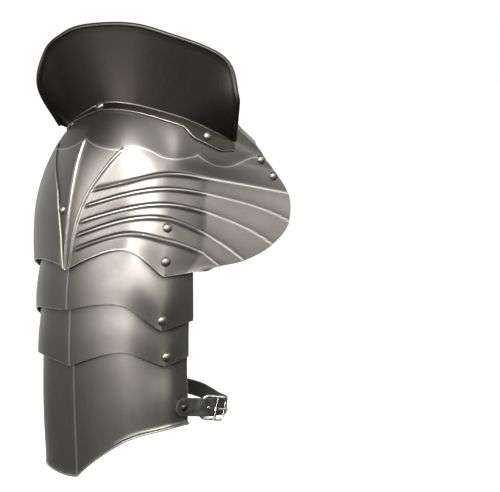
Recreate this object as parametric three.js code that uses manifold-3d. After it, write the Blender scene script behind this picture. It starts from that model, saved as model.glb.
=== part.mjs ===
// A steel pauldron for the right shoulder: a fluted shoulder plate with an upright neck guard, two
// lames and an arm plate that pivot on rivets, and a leather strap with a buckle.
// Millimetres. +X points to the wearer's neck, -Y to the front and +Z up. The origin is the point of
// the crown that rests on the shoulder.
import * as THREE from 'three';
import { mergeVertices } from 'three/addons/utils/BufferGeometryUtils.js';
import Module from 'manifold-3d';

const wasm = await Module();
wasm.setup();

// Sheet, relief and clearances
const SHEET = 1.5;
const FLUTE_HEIGHT = 1.7;
const FLUTE_HALF_WIDTH = 2.8;
const CREASE_HEIGHT = 1.1;
const CREASE_HALF_WIDTH = 2.2;
const SEAT_GAP = 0.3;

// Neck guard
const GUARD_GAP = 0.5;
const GUARD_REACH = 3.52;
const GUARD_BACK_REACH = 2.05;
const FOOT_WIDTH = 9;
const TONGUE_EXTRA = 5;
const TIP_LESS = 5;
const RIM_RADIUS = 2.1;

// Arm plate's turned lower rim
const TURNED_RIM_OUT = 1.6;
const TURNED_RIM_DEEP = 2.5;

// Rivets: radius and height of the domed head, radius of the shank, of its hole and of the inner head,
// and how far the head stands off its seat
const RIVET_SIDES = 8;
const INNER_HEAD_HEIGHT = 1.2;
const PLATE_RIVET = { head: 4, height: 2.6, shank: 1.8, hole: 2.3, inner: 3.4, lift: 0.3 };
const HINGE_RIVET = { head: 4, height: 2.6, shank: 1.8, hole: 2.3, inner: 3.4, lift: 0.8 };
const STRAP_RIVET = { head: 3.2, height: 2.1, shank: 1.4, hole: 1.8, inner: 2.8, lift: 0.3 };
const STUD = { head: 1.6, height: 0.9, shank: 0.6, hole: 0.9, inner: 1.3, lift: 1.0 };

// Strap and buckle
const STRAP_WIDTH = 15;
const STRAP_THICK = 2.2;
const STRAP_SLOPE = -0.27;
const BILLET_GAP = 0.7;
const TAB_ROW = 2.36;
const WIRE_RADIUS = 1.1;
const BUCKLE_HEIGHT = 21;
const BUCKLE_CORNER = 3.5;
const PRONG_RADIUS = 0.8;
const COLLAR = { inner: 1.35, outer: 2, length: 3 };

const STEEL = new THREE.MeshStandardMaterial({ color: 0x6d6862, roughness: 0.38, metalness: 1 });
const DARK_STEEL = new THREE.MeshStandardMaterial({ color: 0x55504b, roughness: 0.42, metalness: 1 });
const NICKEL = new THREE.MeshStandardMaterial({ color: 0xc9c4b8, roughness: 0.2, metalness: 1 });
const LEATHER = new THREE.MeshStandardMaterial({ color: 0x151413, roughness: 0.6, metalness: 0 });

// The shoulder plate, a row for each line round it from the lower edge up to the neck. ridge is [x, z]
// above the arm's side. The other stations are [x, y, z], on the way to the front wing's border and
// to the back. vee is where the front crease of the V crosses the line, in stations from the ridge.
const SHOULDER_ROWS = [
  { name: 'lower_edge', ridge: [-40, -125], vee: 0.05, keel: 1, kink: 'front',
    side: [-22, -55, -103], front: [2.7, -75, -125], bend: [22, -79, -124], end: [40, -83, -123],
    backSide: [-32.5, 66, -128], backFront: [3, 79, -157], backBend: [22, 82, -157],
    backEnd: [38, 85, -156] },
  { name: 'flute_5', ridge: [-39.4, -112], vee: 0.13, keel: 1, kink: 'bend',
    side: [-19, -52, -92], front: [7, -71.5, -97], bend: [40, -78, -110.5], end: [53.5, -82, -122.5],
    backSide: [-32, 66, -109], backFront: [5, 78, -130], backBend: [36, 83, -142], backEnd: [50, 87, -155] },
  { name: 'flute_4', ridge: [-38.2, -101], vee: 0.2, keel: 0.9, kink: 'bend',
    side: [-17, -49, -82], front: [11, -68, -81], bend: [48.5, -71, -97], end: [79.5, -82, -121.5],
    backSide: [-31, 66, -96], backFront: [7, 77, -113], backBend: [44, 82, -124], backEnd: [72, 90, -150] },
  { name: 'flute_3', ridge: [-36.7, -90], vee: 0.3, keel: 0.8, kink: 'bend',
    side: [-15, -46, -74], front: [13, -64.5, -70.5], bend: [53.5, -65, -80], end: [108.5, -85.5, -111],
    backSide: [-29.5, 66, -84], backFront: [8, 76, -98], backBend: [49, 80, -107], backEnd: [95, 94, -138] },
  { name: 'flute_2', ridge: [-34.9, -78], vee: 0.42, keel: 0.7, kink: 'bend',
    side: [-12, -43, -63], front: [16, -60, -59], bend: [58.5, -59, -66], end: [133, -81, -94],
    backSide: [-27, 65, -71], backFront: [9, 75, -84], backBend: [53, 78, -92], backEnd: [112, 92, -120] },
  { name: 'flute_1', ridge: [-32.4, -65], vee: 0.58, keel: 0.6, kink: 'bend',
    side: [-11, -40, -54], front: [19, -56, -48], bend: [59.5, -56.5, -53.5], end: [141, -71, -71],
    backSide: [-24, 63, -59], backFront: [10, 73, -69], backBend: [55, 75, -77], backEnd: [118, 86, -98] },
  { name: 'scallop', ridge: [-17.7, -20.4], vee: 1, keel: 0.2,
    side: [-6, -35.5, -27.5], front: [24, -51.2, -35], bend: [54, -55.5, -36], end: [130, -64.5, -51],
    backSide: [-12, 54, -28], backFront: [12, 67, -42], backBend: [55, 70, -53], backEnd: [112, 76, -68] },
  { name: 'guard_foot', ridge: [2, 6], vee: 1, keel: 0,
    side: [13, -21, 5.5], front: [36, -37, -1.5], bend: [63, -49, -12], end: [122, -61.5, -40],
    backSide: [-2, 36, -7], backFront: [9, 57, -17], backBend: [55, 66, -30], backEnd: [112, 72, -55] },
  { name: 'crown', ridge: [48, 16], vee: 1, keel: 0,
    side: [56, -16, 13], front: [70, -30, 4], bend: [88, -42, -9], end: [120.5, -58, -34.5],
    backSide: [48, 28, 10], backFront: [56, 46, -2], backBend: [84, 58, -19], backEnd: [113, 70, -48] },
  { name: 'neck_root', ridge: [96, 17], vee: 1, keel: 0, crease: true,
    side: [98, -17, 11], front: [102, -33, -3], bend: [107, -45, -17], end: [118.5, -54.8, -30],
    backSide: [97, 22, 10], backFront: [101, 42, -6], backBend: [107, 56, -24], backEnd: [114, 68, -43] },
  { name: 'neck_edge', ridge: [104, 23], vee: 1, keel: 0,
    side: [105, -15, 17], front: [107, -30, 2], bend: [110, -42, -13], end: [118.8, -52.5, -26],
    backSide: [104, 20, 16], backFront: [107, 39, -1], backBend: [111, 54, -19], backEnd: [116, 66, -39] },
];
const SCALLOP = 6;
const GUARD_FOOT = 7;
const FLUTES = [1, 2, 3, 4, 5];
const BACK_VEE = 0.7;

// The lames and the arm plate, from the covered top edge down. end is the edge towards the body.
const UPPER_LAME_ROWS = [
  { name: 'top', ridge: [-34.4, -102], side: [-17, -48.5, -97], backSide: [-25, 59.2, -119.2],
    front: [6, -67.6, -101], end: [34, -71.5, -112], keel: 1, sag: 0.42, back: 1.03 },
  { name: 'covered', ridge: [-36, -129], side: [-20, -52.5, -114], backSide: [-28, 63.3, -137.8],
    front: [4.5, -71, -120], end: [33, -73.2, -128], keel: 1, sag: 0.42, back: 1.03 },
  { name: 'middle', ridge: [-38.8, -142], side: [-23.5, -53, -129], backSide: [-31.5, 63.9, -153],
    front: [0, -74.4, -145], end: [32, -74.4, -147], keel: 1, sag: 0.42, back: 1.03 },
  { name: 'lower_edge', ridge: [-40.9, -158], side: [-26, -52, -147.5], backSide: [-34, 62.8, -171.1],
    front: [-1.2, -75.4, -168], end: [31, -75.4, -165], keel: 1, sag: 0.42, back: 1.03, kink: 'front' },
];
const LOWER_LAME_ROWS = [
  { name: 'top', ridge: [-36.4, -140], side: [-21.5, -48.5, -133], backSide: [-29.5, 59.2, -155.2],
    front: [0, -70.7, -146], end: [30, -71.2, -148], keel: 1, sag: 0.42, back: 1.03 },
  { name: 'covered', ridge: [-37.6, -162], side: [-22.5, -50.5, -155], backSide: [-30.5, 61, -177.9],
    front: [0, -71.9, -163], end: [29, -72, -166], keel: 1, sag: 0.42, back: 1.03 },
  { name: 'middle', ridge: [-39.2, -182], side: [-24, -52, -169], backSide: [-32, 62.8, -192.6],
    front: [1.5, -73.4, -180], end: [27.5, -73.4, -180], keel: 1, sag: 0.42, back: 1.03 },
  { name: 'lower_edge', ridge: [-40.2, -205.7], side: [-25.5, -52.5, -186], backSide: [-33.5, 63.3, -209.8],
    front: [2, -75, -197.5], end: [26, -75, -194], keel: 1, sag: 0.42, back: 1.03, kink: 'front' },
];
const ARM_PLATE_ROWS = [
  { name: 'top', ridge: [-35.2, -172], side: [-21, -47.5, -166], backSide: [-29, 58.2, -187.7],
    front: [4.5, -70.2, -178], end: [28, -71.4, -180], keel: 1, sag: 0.42, back: 1.03 },
  { name: 'covered', ridge: [-36.2, -212], side: [-22.5, -49.5, -198], backSide: [-30.5, 60.3, -222.3],
    front: [3.5, -71.8, -203], end: [26.5, -72, -203], keel: 1, sag: 0.45, back: 1.03 },
  { name: 'middle', ridge: [-36.8, -255], side: [-23.5, -50.5, -230], backSide: [-31.5, 61.3, -263.7],
    front: [1.5, -74.4, -226], end: [25, -74.4, -226], keel: 1, sag: 0.6, back: 1.03 },
  { name: 'lower_edge', ridge: [-36.6, -302.5], side: [-23, -51, -260], backSide: [-31, 61.4, -308.7],
    front: [1, -75, -248], end: [24, -75, -249], keel: 1, sag: 0.85, back: 1.03 },
];

// The neck guard's rim, on the same stations as its foot
const GUARD_RIM = { ridge: [-17, 66], side: [8, -24, 66.5], front: [30, -43, 60], bend: [69.4, -69.5, 41.4],
  end: [76.6, -78, 9.8], backSide: [-25, 18, 59.5], backFront: [-29, 36, 48], backBend: [-29.4, 49.5, 20],
  backEnd: [-5, 60, -12], keel: 0 };
const GUARD_BELLY = 5;

const STATIONS = ['ridge', 'side', 'front', 'bend', 'end'];

// Points of one row from the ridge to the front, or to the back, where the plates reach further and
// hang lower unless the row has points of its own
function rowPoints(row, toBack) {
  return STATIONS.filter((station) => row[station]).map((station) => {
    const [x, y, z] = row[station];
    if (station === 'ridge') return new THREE.Vector3(x, 0, y);
    if (!toBack) return new THREE.Vector3(x, y, z);
    const own = row[`back${station[0].toUpperCase()}${station.slice(1)}`];
    return own ? new THREE.Vector3(...own) : new THREE.Vector3(x, -y * row.back, z + y * row.sag);
  });
}

function hermite(a, leave, b, arrive, f) {
  const f2 = f * f;
  const f3 = f2 * f;
  return new THREE.Vector3()
    .addScaledVector(a, 2 * f3 - 3 * f2 + 1)
    .addScaledVector(leave, f3 - 2 * f2 + f)
    .addScaledVector(b, 3 * f2 - 2 * f3)
    .addScaledVector(arrive, f3 - f2);
}

// A smooth line through the stations of half a row, with t counted in stations from the ridge. A
// kinked station keeps its corner, and a row with a keel has one at the ridge.
function halfLine(row, toBack) {
  const points = rowPoints(row, toBack);
  const others = rowPoints(row, !toBack);
  const last = points.length - 1;
  const present = STATIONS.filter((station) => row[station]);
  const kinked = toBack && row.kink === 'bend' ? -1 : present.indexOf(row.kink);
  const step = (i) => points[i + 1].clone().sub(points[i]);
  const across = points[1].clone().sub(others[1]).multiplyScalar(0.5);
  const creased = new THREE.Vector3(step(0).x * 0.35, step(0).y, step(0).z * 1.15);
  const tangent = (i, leaving) => {
    if (i === 0) return across.clone().lerp(creased, row.keel);
    if (i === last) return step(last - 1);
    if (i === kinked) return leaving ? step(i) : step(i - 1);
    return points[i + 1].clone().sub(points[i - 1]).multiplyScalar(0.5);
  };
  return (t) => {
    const i = Math.min(Math.floor(t), last - 1);
    return hermite(points[i], tangent(i, true), points[i + 1], tangent(i + 1, false), Math.min(t, last) - i);
  };
}

// A whole row, with t negative behind the ridge
function rowLine(row) {
  const front = halfLine(row, false);
  const back = halfLine(row, true);
  return (t) => (t < 0 ? back(-t) : front(t));
}

// A smooth sheet through the rows, with s counted in rows
function rowSheet(rows) {
  const lines = rows.map(rowLine);
  return (s, t) => {
    const points = lines.map((line) => line(t));
    const last = points.length - 1;
    const at = THREE.MathUtils.clamp(s, 0, last);
    const i = Math.min(Math.floor(at), last - 1);
    const slope = (k) => points[k + 1].clone().sub(points[k]);
    const length = (k) => Math.max(points[k + 1].distanceTo(points[k]), 1e-3);
    const tangent = (k, leaving) => {
      const oneSided = k === 0 || (rows[k].crease && leaving) ? k : k - 1;
      if (k === 0 || k === last || rows[k].crease) return slope(oneSided).divideScalar(length(oneSided));
      const before = length(k - 1);
      const after = length(k);
      return slope(k - 1).multiplyScalar(after / before)
        .addScaledVector(slope(k), before / after)
        .divideScalar(before + after);
    };
    const run = length(i);
    return hermite(points[i], tangent(i, true).multiplyScalar(run), points[i + 1],
      tangent(i + 1, false).multiplyScalar(run), at - i);
  };
}

// Outward unit normal of a sheet, by small steps that stay inside it and off the ridge
function sheetNormal(sheet, s, t, lastRow, lastStation, outwards) {
  const h = 0.02;
  const s0 = THREE.MathUtils.clamp(s - h, 0, lastRow - 2 * h);
  const t0 = THREE.MathUtils.clamp(t - h, -lastStation, lastStation - 2 * h);
  const alongRows = sheet(s0 + 2 * h, t).sub(sheet(s0, t));
  const alongLine = sheet(s, t0 + 2 * h).sub(sheet(s, t0));
  return alongLine.cross(alongRows).multiplyScalar(outwards).normalize();
}

// A closed sheet of metal: a box whose grid is laid on outer points and, through it, inner points
function sheetBody(columns, rows, place) {
  const geometry = new THREE.BoxGeometry(1, 1, 1, columns - 1, rows - 1, 1);
  const position = geometry.attributes.position;
  for (let i = 0; i < position.count; i += 1) {
    const column = Math.round((position.getX(i) + 0.5) * (columns - 1));
    const row = Math.round((position.getY(i) + 0.5) * (rows - 1));
    const point = place(column, row, position.getZ(i) > 0);
    position.setXYZ(i, point.x, point.y, point.z);
  }
  return geometry;
}

function toSolid(geometry) {
  const bare = geometry.index ? geometry.toNonIndexed() : geometry.clone();
  bare.deleteAttribute('normal');
  bare.deleteAttribute('uv');
  const merged = mergeVertices(bare, 1e-4);
  return new wasm.Manifold(new wasm.Mesh({
    numProp: 3,
    vertProperties: new Float32Array(merged.attributes.position.array),
    triVerts: new Uint32Array(merged.index.array),
  }));
}

function toGeometry(solid) {
  const mesh = solid.getMesh();
  const geometry = new THREE.BufferGeometry();
  geometry.setAttribute('position', new THREE.BufferAttribute(new Float32Array(mesh.vertProperties), 3));
  geometry.setIndex(new THREE.BufferAttribute(new Uint32Array(mesh.triVerts), 1));
  return geometry;
}

const joined = (first, second) => toGeometry(toSolid(first).add(toSolid(second)));

// A geometry made along +Y, turned to the outward direction and moved to its place
function aimed(geometry, place, outward) {
  const turn = new THREE.Quaternion().setFromUnitVectors(new THREE.Vector3(0, 1, 0), outward);
  return geometry.applyQuaternion(turn).translate(place.x, place.y, place.z);
}

function cutHoles(geometry, holes) {
  let solid = toSolid(geometry);
  for (const { place, outward, size } of holes) {
    const drill = new THREE.CylinderGeometry(size.hole, size.hole, 24, RIVET_SIDES);
    solid = solid.subtract(toSolid(aimed(drill, place, outward)));
  }
  return toGeometry(solid);
}

// Shoulder plate
const shoulder = rowSheet(SHOULDER_ROWS);
const shoulderLast = SHOULDER_ROWS.length - 1;
const shoulderNormal = (s, t) => sheetNormal(shoulder, s, t, shoulderLast, 4, 1);

function veeAt(s) {
  const i = Math.min(Math.floor(s), shoulderLast - 1);
  return THREE.MathUtils.lerp(SHOULDER_ROWS[i].vee, SHOULDER_ROWS[i + 1].vee, s - i);
}

// Rows of the grid, with three to a flute: its two feet and its crest
const shoulderGridRows = [{ s: 0 }, { s: 0.5 }];
for (const flute of FLUTES) {
  shoulderGridRows.push({ s: flute, foot: -1 }, { s: flute, crest: true }, { s: flute, foot: 1 });
  shoulderGridRows.push({ s: flute + 0.5 });
}
for (const s of [6, 6.5, 7, 7.5, 8, 8.5, 9, 10]) shoulderGridRows.push({ s });

// Columns of the grid's front half: the ridge, the V's front crease, then on to the wing's border
const shoulderGridColumns = [
  { part: 0 }, { part: 0.5 }, { vee: -1 }, { vee: 0 }, { vee: 1 },
  { rest: 0.28 }, { rest: 0.55 }, { rest: 0.8 }, { t: 2 },
  { t: 2.33 }, { t: 2.67 }, { t: 3 }, { t: 3.5 }, { t: 4 },
];

function shoulderColumnT(column, s, side) {
  const vee = veeAt(s) * (side < 0 ? BACK_VEE : 1);
  const half = Math.min(CREASE_HALF_WIDTH / 62, vee * 0.4);
  if (column.t !== undefined) return column.t;
  if (column.vee !== undefined) return vee + column.vee * half;
  if (column.part !== undefined) return column.part * (vee - half);
  return vee + half + column.rest * (2 - vee - half);
}

function shoulderPoint(columnIndex, rowIndex, outer) {
  const middle = shoulderGridColumns.length - 1;
  const column = shoulderGridColumns[Math.abs(columnIndex - middle)];
  const side = columnIndex < middle ? -1 : 1;
  const row = shoulderGridRows[rowIndex];
  let s = row.s;
  let t = side * shoulderColumnT(column, s, side);
  if (row.foot) {
    const spacing = shoulder(s + row.foot, t).distanceTo(shoulder(s, t));
    s += row.foot * Math.min(0.3, FLUTE_HALF_WIDTH / spacing);
    t = side * shoulderColumnT(column, s, side);
  }
  const normal = shoulderNormal(s, t);
  const point = shoulder(s, t);
  const veeFade = THREE.MathUtils.smoothstep(SCALLOP - s, 0, 1);
  if (row.crest && side === 1) {
    const fluteFade = THREE.MathUtils.smoothstep(t - veeAt(s), 0.06, 0.22);
    point.addScaledVector(normal, FLUTE_HEIGHT * fluteFade);
  }
  if (column.vee === 0 || column.part === 0) point.addScaledVector(normal, CREASE_HEIGHT * veeFade);
  if (!outer) point.addScaledVector(normal, -SHEET);
  if (column.part === 0) point.y = 0;
  return point;
}

// Lames and arm plate: a plain sheet between its top and lower edges, with a keel along the ridge
const PLATE_COLUMNS = [0, 0.2, 0.4, 0.6, 0.8, 1, 1.2, 1.4, 1.6, 1.8, 2, 2.5, 3];
const PLATE_STEPS = 2;

function plateFrom(rows, turnedRim) {
  const sheet = rowSheet(rows);
  const last = rows.length - 1;
  const gridRows = Array.from({ length: last * PLATE_STEPS + 1 }, (_, i) => ({ s: i / PLATE_STEPS, out: 0 }));
  if (turnedRim) {
    gridRows[gridRows.length - 1].drop = -TURNED_RIM_DEEP;
    gridRows.push({ s: last, drop: 0, out: TURNED_RIM_OUT });
  }
  const normalAt = (s, t) => sheetNormal(sheet, s, t, last, 3, -1);
  const middle = PLATE_COLUMNS.length - 1;
  const place = (columnIndex, rowIndex, outer) => {
    const t = Math.sign(columnIndex - middle) * PLATE_COLUMNS[Math.abs(columnIndex - middle)];
    const row = gridRows[gridRows.length - 1 - rowIndex];
    const normal = normalAt(row.s, t);
    const point = sheet(row.s, t);
    point.z -= row.drop ?? 0;
    point.addScaledVector(normal, row.out - (outer ? 0 : SHEET));
    if (t === 0) point.y = 0;
    return point;
  };
  const geometry = sheetBody(PLATE_COLUMNS.length * 2 - 1, gridRows.length, place);
  return { sheet, normalAt, geometry };
}

const upperLame = plateFrom(UPPER_LAME_ROWS, false);
const lowerLame = plateFrom(LOWER_LAME_ROWS, false);
const armPlate = plateFrom(ARM_PLATE_ROWS, true);

// Neck guard: its foot lies on the shoulder plate, and its wall leans out to the rolled rim
const guardRim = rowLine(GUARD_RIM);
const GUARD_ROWS = [-1, -0.5, 0, 0.2, 0.4, 0.6, 0.8, 1];
const GUARD_COLUMNS = [-GUARD_BACK_REACH, -1.85, -1.5, -1.15, -0.8, -0.4, 0, 0.35, 0.7, 1.05, 1.4, 1.75,
  2.1, 2.4, 2.7, 2.95, 3.2, 3.38, GUARD_REACH];

function guardFoot(t, along) {
  const spacing = shoulder(GUARD_FOOT - 1, t).distanceTo(shoulder(GUARD_FOOT, t));
  const tongue = THREE.MathUtils.smoothstep(t, 2.55, 2.95);
  const tip = THREE.MathUtils.smoothstep(t, 3.3, GUARD_REACH);
  const s = GUARD_FOOT - along * (FOOT_WIDTH + TONGUE_EXTRA * tongue - TIP_LESS * tip) / spacing;
  return shoulder(s, t).addScaledVector(shoulderNormal(s, t), GUARD_GAP);
}

function guardWall(t, up) {
  const foot = guardFoot(t, 0);
  const rim = guardRim(t * 4 / (t < 0 ? GUARD_BACK_REACH : GUARD_REACH));
  const point = foot.clone().lerp(rim, up);
  const across = rim.clone().sub(foot);
  const inward = new THREE.Vector3(1, 0, 0);
  inward.addScaledVector(across, -inward.dot(across) / across.lengthSq()).normalize();
  const backFlat = THREE.MathUtils.smoothstep(-t, 0, 1.2);
  const frontFlat = THREE.MathUtils.smoothstep(t, 2.6, GUARD_REACH);
  const belly = GUARD_BELLY * (1 - Math.max(backFlat, frontFlat));
  return point.addScaledVector(inward, belly * Math.sin(Math.PI * up));
}

const guardSheet = (v, t) => (v < 0 ? guardFoot(t, -v) : guardWall(t, v));

function guardNormal(v, t) {
  const h = 0.01;
  const t0 = THREE.MathUtils.clamp(t - h, -GUARD_BACK_REACH, GUARD_REACH - 2 * h);
  const alongLine = guardSheet(v, t0 + 2 * h).sub(guardSheet(v, t0));
  const face = (from, to) => alongLine.clone().cross(guardSheet(to, t).sub(guardSheet(from, t))).normalize();
  if (v === 0) {
    const foot = face(-2 * h, 0);
    const wall = face(0, 2 * h);
    const miter = foot.clone().add(wall).normalize();
    return miter.divideScalar(Math.max(miter.dot(foot), 0.5));
  }
  const from = THREE.MathUtils.clamp(v - h, -1, 1 - 2 * h);
  return face(from, from + 2 * h);
}

function guardPoint(columnIndex, rowIndex, outer) {
  const t = GUARD_COLUMNS[columnIndex];
  const v = GUARD_ROWS[rowIndex];
  const point = guardSheet(v, t);
  if (outer) point.addScaledVector(guardNormal(v, t), SHEET);
  return point;
}

function wire(path, radius, steps, sides) {
  const section = new THREE.Shape().absarc(0, 0, radius, 0, Math.PI * 2);
  return new THREE.ExtrudeGeometry(section, { steps, curveSegments: sides, extrudePath: path });
}

function straightWire(path, radius) {
  return wire(path, radius, 1, 4);
}

// The rolled rim is a round bead up the front edge and along the top, down to the guard's low back end
function guardBead() {
  const inWall = (v, t) => guardSheet(v, t).addScaledVector(guardNormal(v, t), SHEET / 2);
  const edgeUp = [0.1, 0.32, 0.56, 0.8];
  const top = [3.45, 3.2, 2.6, 2, 1.4, 0.7, 0, -0.4, -0.8, -1.2, -1.6, -1.85, -2];
  const path = new THREE.CatmullRomCurve3([
    ...edgeUp.map((v) => inWall(v, GUARD_REACH)),
    ...top.map((t) => inWall(1, t)),
  ], false, 'centripetal');
  return wire(path, RIM_RADIUS, 32, 3);
}

// Rivets: where each one sits, which plate's outside carries its head and how deep its shank goes
const onShoulder = (s, t, size) => ({ place: shoulder(s, t), outward: shoulderNormal(s, t), size });
const onPlate = (plate, s, t, size) => ({ place: plate.sheet(s, t), outward: plate.normalAt(s, t), size });

function onGuard(v, t) {
  const outward = guardNormal(v, t);
  return { place: guardSheet(v, t).addScaledVector(outward, SHEET), outward, size: HINGE_RIVET };
}

const upperHinges = [2.04, -2.04].map((t) => onShoulder(0.42, t, HINGE_RIVET));
const lowerHinges = [2.02, -2.02].map((t) => onPlate(upperLame, 2.62, t, HINGE_RIVET));
const armHinges = [2.08, -2.08].map((t) => onPlate(lowerLame, 2.55, t, HINGE_RIVET));
const ridgeRivet = onShoulder(3.95, -0.15, HINGE_RIVET);
const wingRivet = onShoulder(1.6, 2.03, HINGE_RIVET);
const neckRivets = [onShoulder(6.65, 3.9, HINGE_RIVET), onShoulder(5.7, 3.93, HINGE_RIVET)];
const guardRivets = [onGuard(-0.55, 3.12), onGuard(-0.45, 0)];

function rivetGeometry({ place, outward, size }, depth) {
  const { head, height, shank, inner, lift } = size;
  const profile = [
    [0, -depth - INNER_HEAD_HEIGHT], [inner, -depth - INNER_HEAD_HEIGHT], [inner, -depth],
    [shank, -depth], [shank, lift], [head, lift], [head * 0.88, lift + height * 0.5],
    [head * 0.5, lift + height * 0.88], [0, lift + height],
  ].map(([radius, level]) => new THREE.Vector2(radius, level));
  return aimed(new THREE.LatheGeometry(profile, RIVET_SIDES), place, outward);
}

// Strap pieces are laid out along u from the tab's rivet, v across and w outward from the arm plate's
// front, then turned to the strap's slope
const STRAP_SEAT = onPlate(armPlate, TAB_ROW, 2.7, STRAP_RIVET);

function onStrap(u, v, w) {
  const droop = Math.atan(STRAP_SLOPE);
  const x = STRAP_SEAT.place.x + u * Math.cos(droop) - v * Math.sin(droop);
  const z = STRAP_SEAT.place.z + u * Math.sin(droop) + v * Math.cos(droop);
  return new THREE.Vector3(x, STRAP_SEAT.place.y - w, z);
}

// A flat strap along a row of stations, each with its place across the strap's middle, its outward
// direction and its width
function strapBody(stations) {
  const place = (column, row, outer) => {
    const { at, outward, width, up } = stations[column];
    return at.clone()
      .addScaledVector(up, (row - 0.5) * width)
      .addScaledVector(outward, outer ? STRAP_THICK : 0);
  };
  return sheetBody(stations.length, 2, place);
}

const STRAP_UP = onStrap(0, 1, 0).sub(onStrap(0, 0, 0));
const FRONTWARD = new THREE.Vector3(0, -1, 0);

// The tab: its round end is riveted on, it passes over the buckle's left bar and under the middle bar
const TAB_STATIONS = [
  { u: -7.5, w: 1, width: 6 }, { u: -6.6, w: 1, width: 10 }, { u: -4.5, w: 0.9, width: 13.6 },
  { u: -1.5, w: 0.8, width: 15 }, { u: 8, w: 0.7, width: 15 }, { u: 13, w: 0.4, width: 15 },
  { u: 17, w: 1.2, width: 15 }, { u: 21, w: 2, width: 15 }, { u: 25, w: 1.2, width: 15 },
  { u: 29, w: 0.2, width: 15 }, { u: 33, w: 0, width: 15 }, { u: 36.5, w: 0, width: 15 },
];
const tabBody = strapBody(TAB_STATIONS.map(({ u, w, width }) => (
  { at: onStrap(u, 0, w + SEAT_GAP), outward: FRONTWARD, width, up: STRAP_UP })));

// The billet: from its rivet on the back of the arm plate round the inside of the arm to the buckle
const BILLET_SEAT = onPlate(armPlate, TAB_ROW, -2.7, STRAP_RIVET);
const onBack = (x, z) => BILLET_SEAT.place.clone().add(new THREE.Vector3(x, BILLET_GAP, z));
const INNER_ARM = [[62, 66, -258], [86, 36, -259], [94, 0, -258], [86, -38, -256]];
const BILLET_PATH = new THREE.CatmullRomCurve3([
  onStrap(29, 0, -2.5), onStrap(36, 0, -2.5), onStrap(44, 0, -3.1), onStrap(54, 0, -8),
  ...INNER_ARM.toReversed().map((point) => new THREE.Vector3(...point)),
  onBack(12, -2), onBack(0, 0), onBack(-8, 2),
], false, 'centripetal');
const BILLET_STEPS = 34;
const billetBody = strapBody(Array.from({ length: BILLET_STEPS + 1 }, (_, i) => {
  const along = i / BILLET_STEPS;
  const tangent = BILLET_PATH.getTangent(along).setZ(0).normalize();
  const turned = THREE.MathUtils.smoothstep(along, 0.05, 0.3);
  return {
    at: BILLET_PATH.getPoint(along),
    outward: new THREE.Vector3(tangent.y, -tangent.x, 0),
    width: STRAP_WIDTH,
    up: STRAP_UP.clone().lerp(new THREE.Vector3(0, 0, 1), turned).normalize(),
  };
}));

// The buckle: a round-cornered wire ring with a middle bar, given by place along the strap and level
// above the plate, and a prong whose collar goes round the middle bar
const BUCKLE_LEFT = { u: 21, w: 0.7 };
const BUCKLE_MIDDLE = { u: 33, w: 5.2 };
const BUCKLE_RIGHT = { u: 42, w: 5.5 };

function buckleFrame() {
  const half = BUCKLE_HEIGHT / 2 - WIRE_RADIUS;
  const corner = BUCKLE_CORNER;
  const left = BUCKLE_LEFT.u;
  const middle = BUCKLE_MIDDLE.u;
  const right = BUCKLE_RIGHT.u;
  const level = (u) => {
    const [from, to] = u < middle ? [BUCKLE_LEFT, BUCKLE_MIDDLE] : [BUCKLE_MIDDLE, BUCKLE_RIGHT];
    return THREE.MathUtils.mapLinear(u, from.u, to.u, from.w, to.w);
  };
  const upperHalf = [
    [left, 0], [left, half - corner], [left + corner * 0.3, half - corner * 0.3], [left + corner, half],
    [middle, half],
    [right - corner, half], [right - corner * 0.3, half - corner * 0.3], [right, half - corner], [right, 0],
  ];
  const lowerHalf = upperHalf.slice(1, -1).reverse().map(([u, v]) => [u, -v]);
  const outline = [...upperHalf, ...lowerHalf].map(([u, v]) => onStrap(u, v, level(u)));
  const ring = new THREE.TubeGeometry(
    new THREE.CatmullRomCurve3(outline, true, 'centripetal'), 36, WIRE_RADIUS, 6, true);
  const cross = new THREE.LineCurve3(
    onStrap(middle, -half, BUCKLE_MIDDLE.w), onStrap(middle, half, BUCKLE_MIDDLE.w));
  return joined(ring, straightWire(cross, WIRE_RADIUS * 0.9));
}

function buckleProng() {
  const { inner, outer, length } = COLLAR;
  const ring = [[inner, -length / 2], [outer, -length / 2], [outer, length / 2], [inner, length / 2],
    [inner, -length / 2]].map(([radius, level]) => new THREE.Vector2(radius, level));
  const collar = aimed(new THREE.LatheGeometry(ring, 12),
    onStrap(BUCKLE_MIDDLE.u, 0, BUCKLE_MIDDLE.w), STRAP_UP);
  const tongue = new THREE.LineCurve3(
    onStrap(BUCKLE_MIDDLE.u + 0.3, 0, BUCKLE_MIDDLE.w + outer + PRONG_RADIUS * 0.4),
    onStrap(BUCKLE_RIGHT.u + 2, 0, BUCKLE_RIGHT.w + WIRE_RADIUS + PRONG_RADIUS + SEAT_GAP));
  return joined(collar, straightWire(tongue, PRONG_RADIUS));
}

const onTab = (u, w, size) => (
  { place: onStrap(u, 0, w + SEAT_GAP + STRAP_THICK), outward: FRONTWARD, size });
const tabRivet = onTab(0, 0.8, STRAP_RIVET);
const tabStud = onTab(25.5, 1.1, STUD);
const billetRivet = {
  place: onBack(0, 0).add(new THREE.Vector3(0, STRAP_THICK, 0)),
  outward: FRONTWARD.clone().negate(),
  size: STRAP_RIVET,
};

const ONE_SHEET = SHEET + 4 * SEAT_GAP;
const HINGE_STACK = 6.5;
const UPPER_HINGE_STACKS = [7, 9];
const GUARD_STACK = 2 * SHEET + GUARD_GAP + 4 * SEAT_GAP;
const STRAP_STACK = SHEET + STRAP_THICK + BILLET_GAP + 3 * SEAT_GAP;

const END_NAMES = ['front', 'back'];
const GUARD_NAMES = ['front', 'middle'];

const pauldron = new THREE.Group();
function addPiece(name, geometry, material) {
  const mesh = new THREE.Mesh(geometry, material);
  mesh.name = name;
  pauldron.add(mesh);
}

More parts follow.
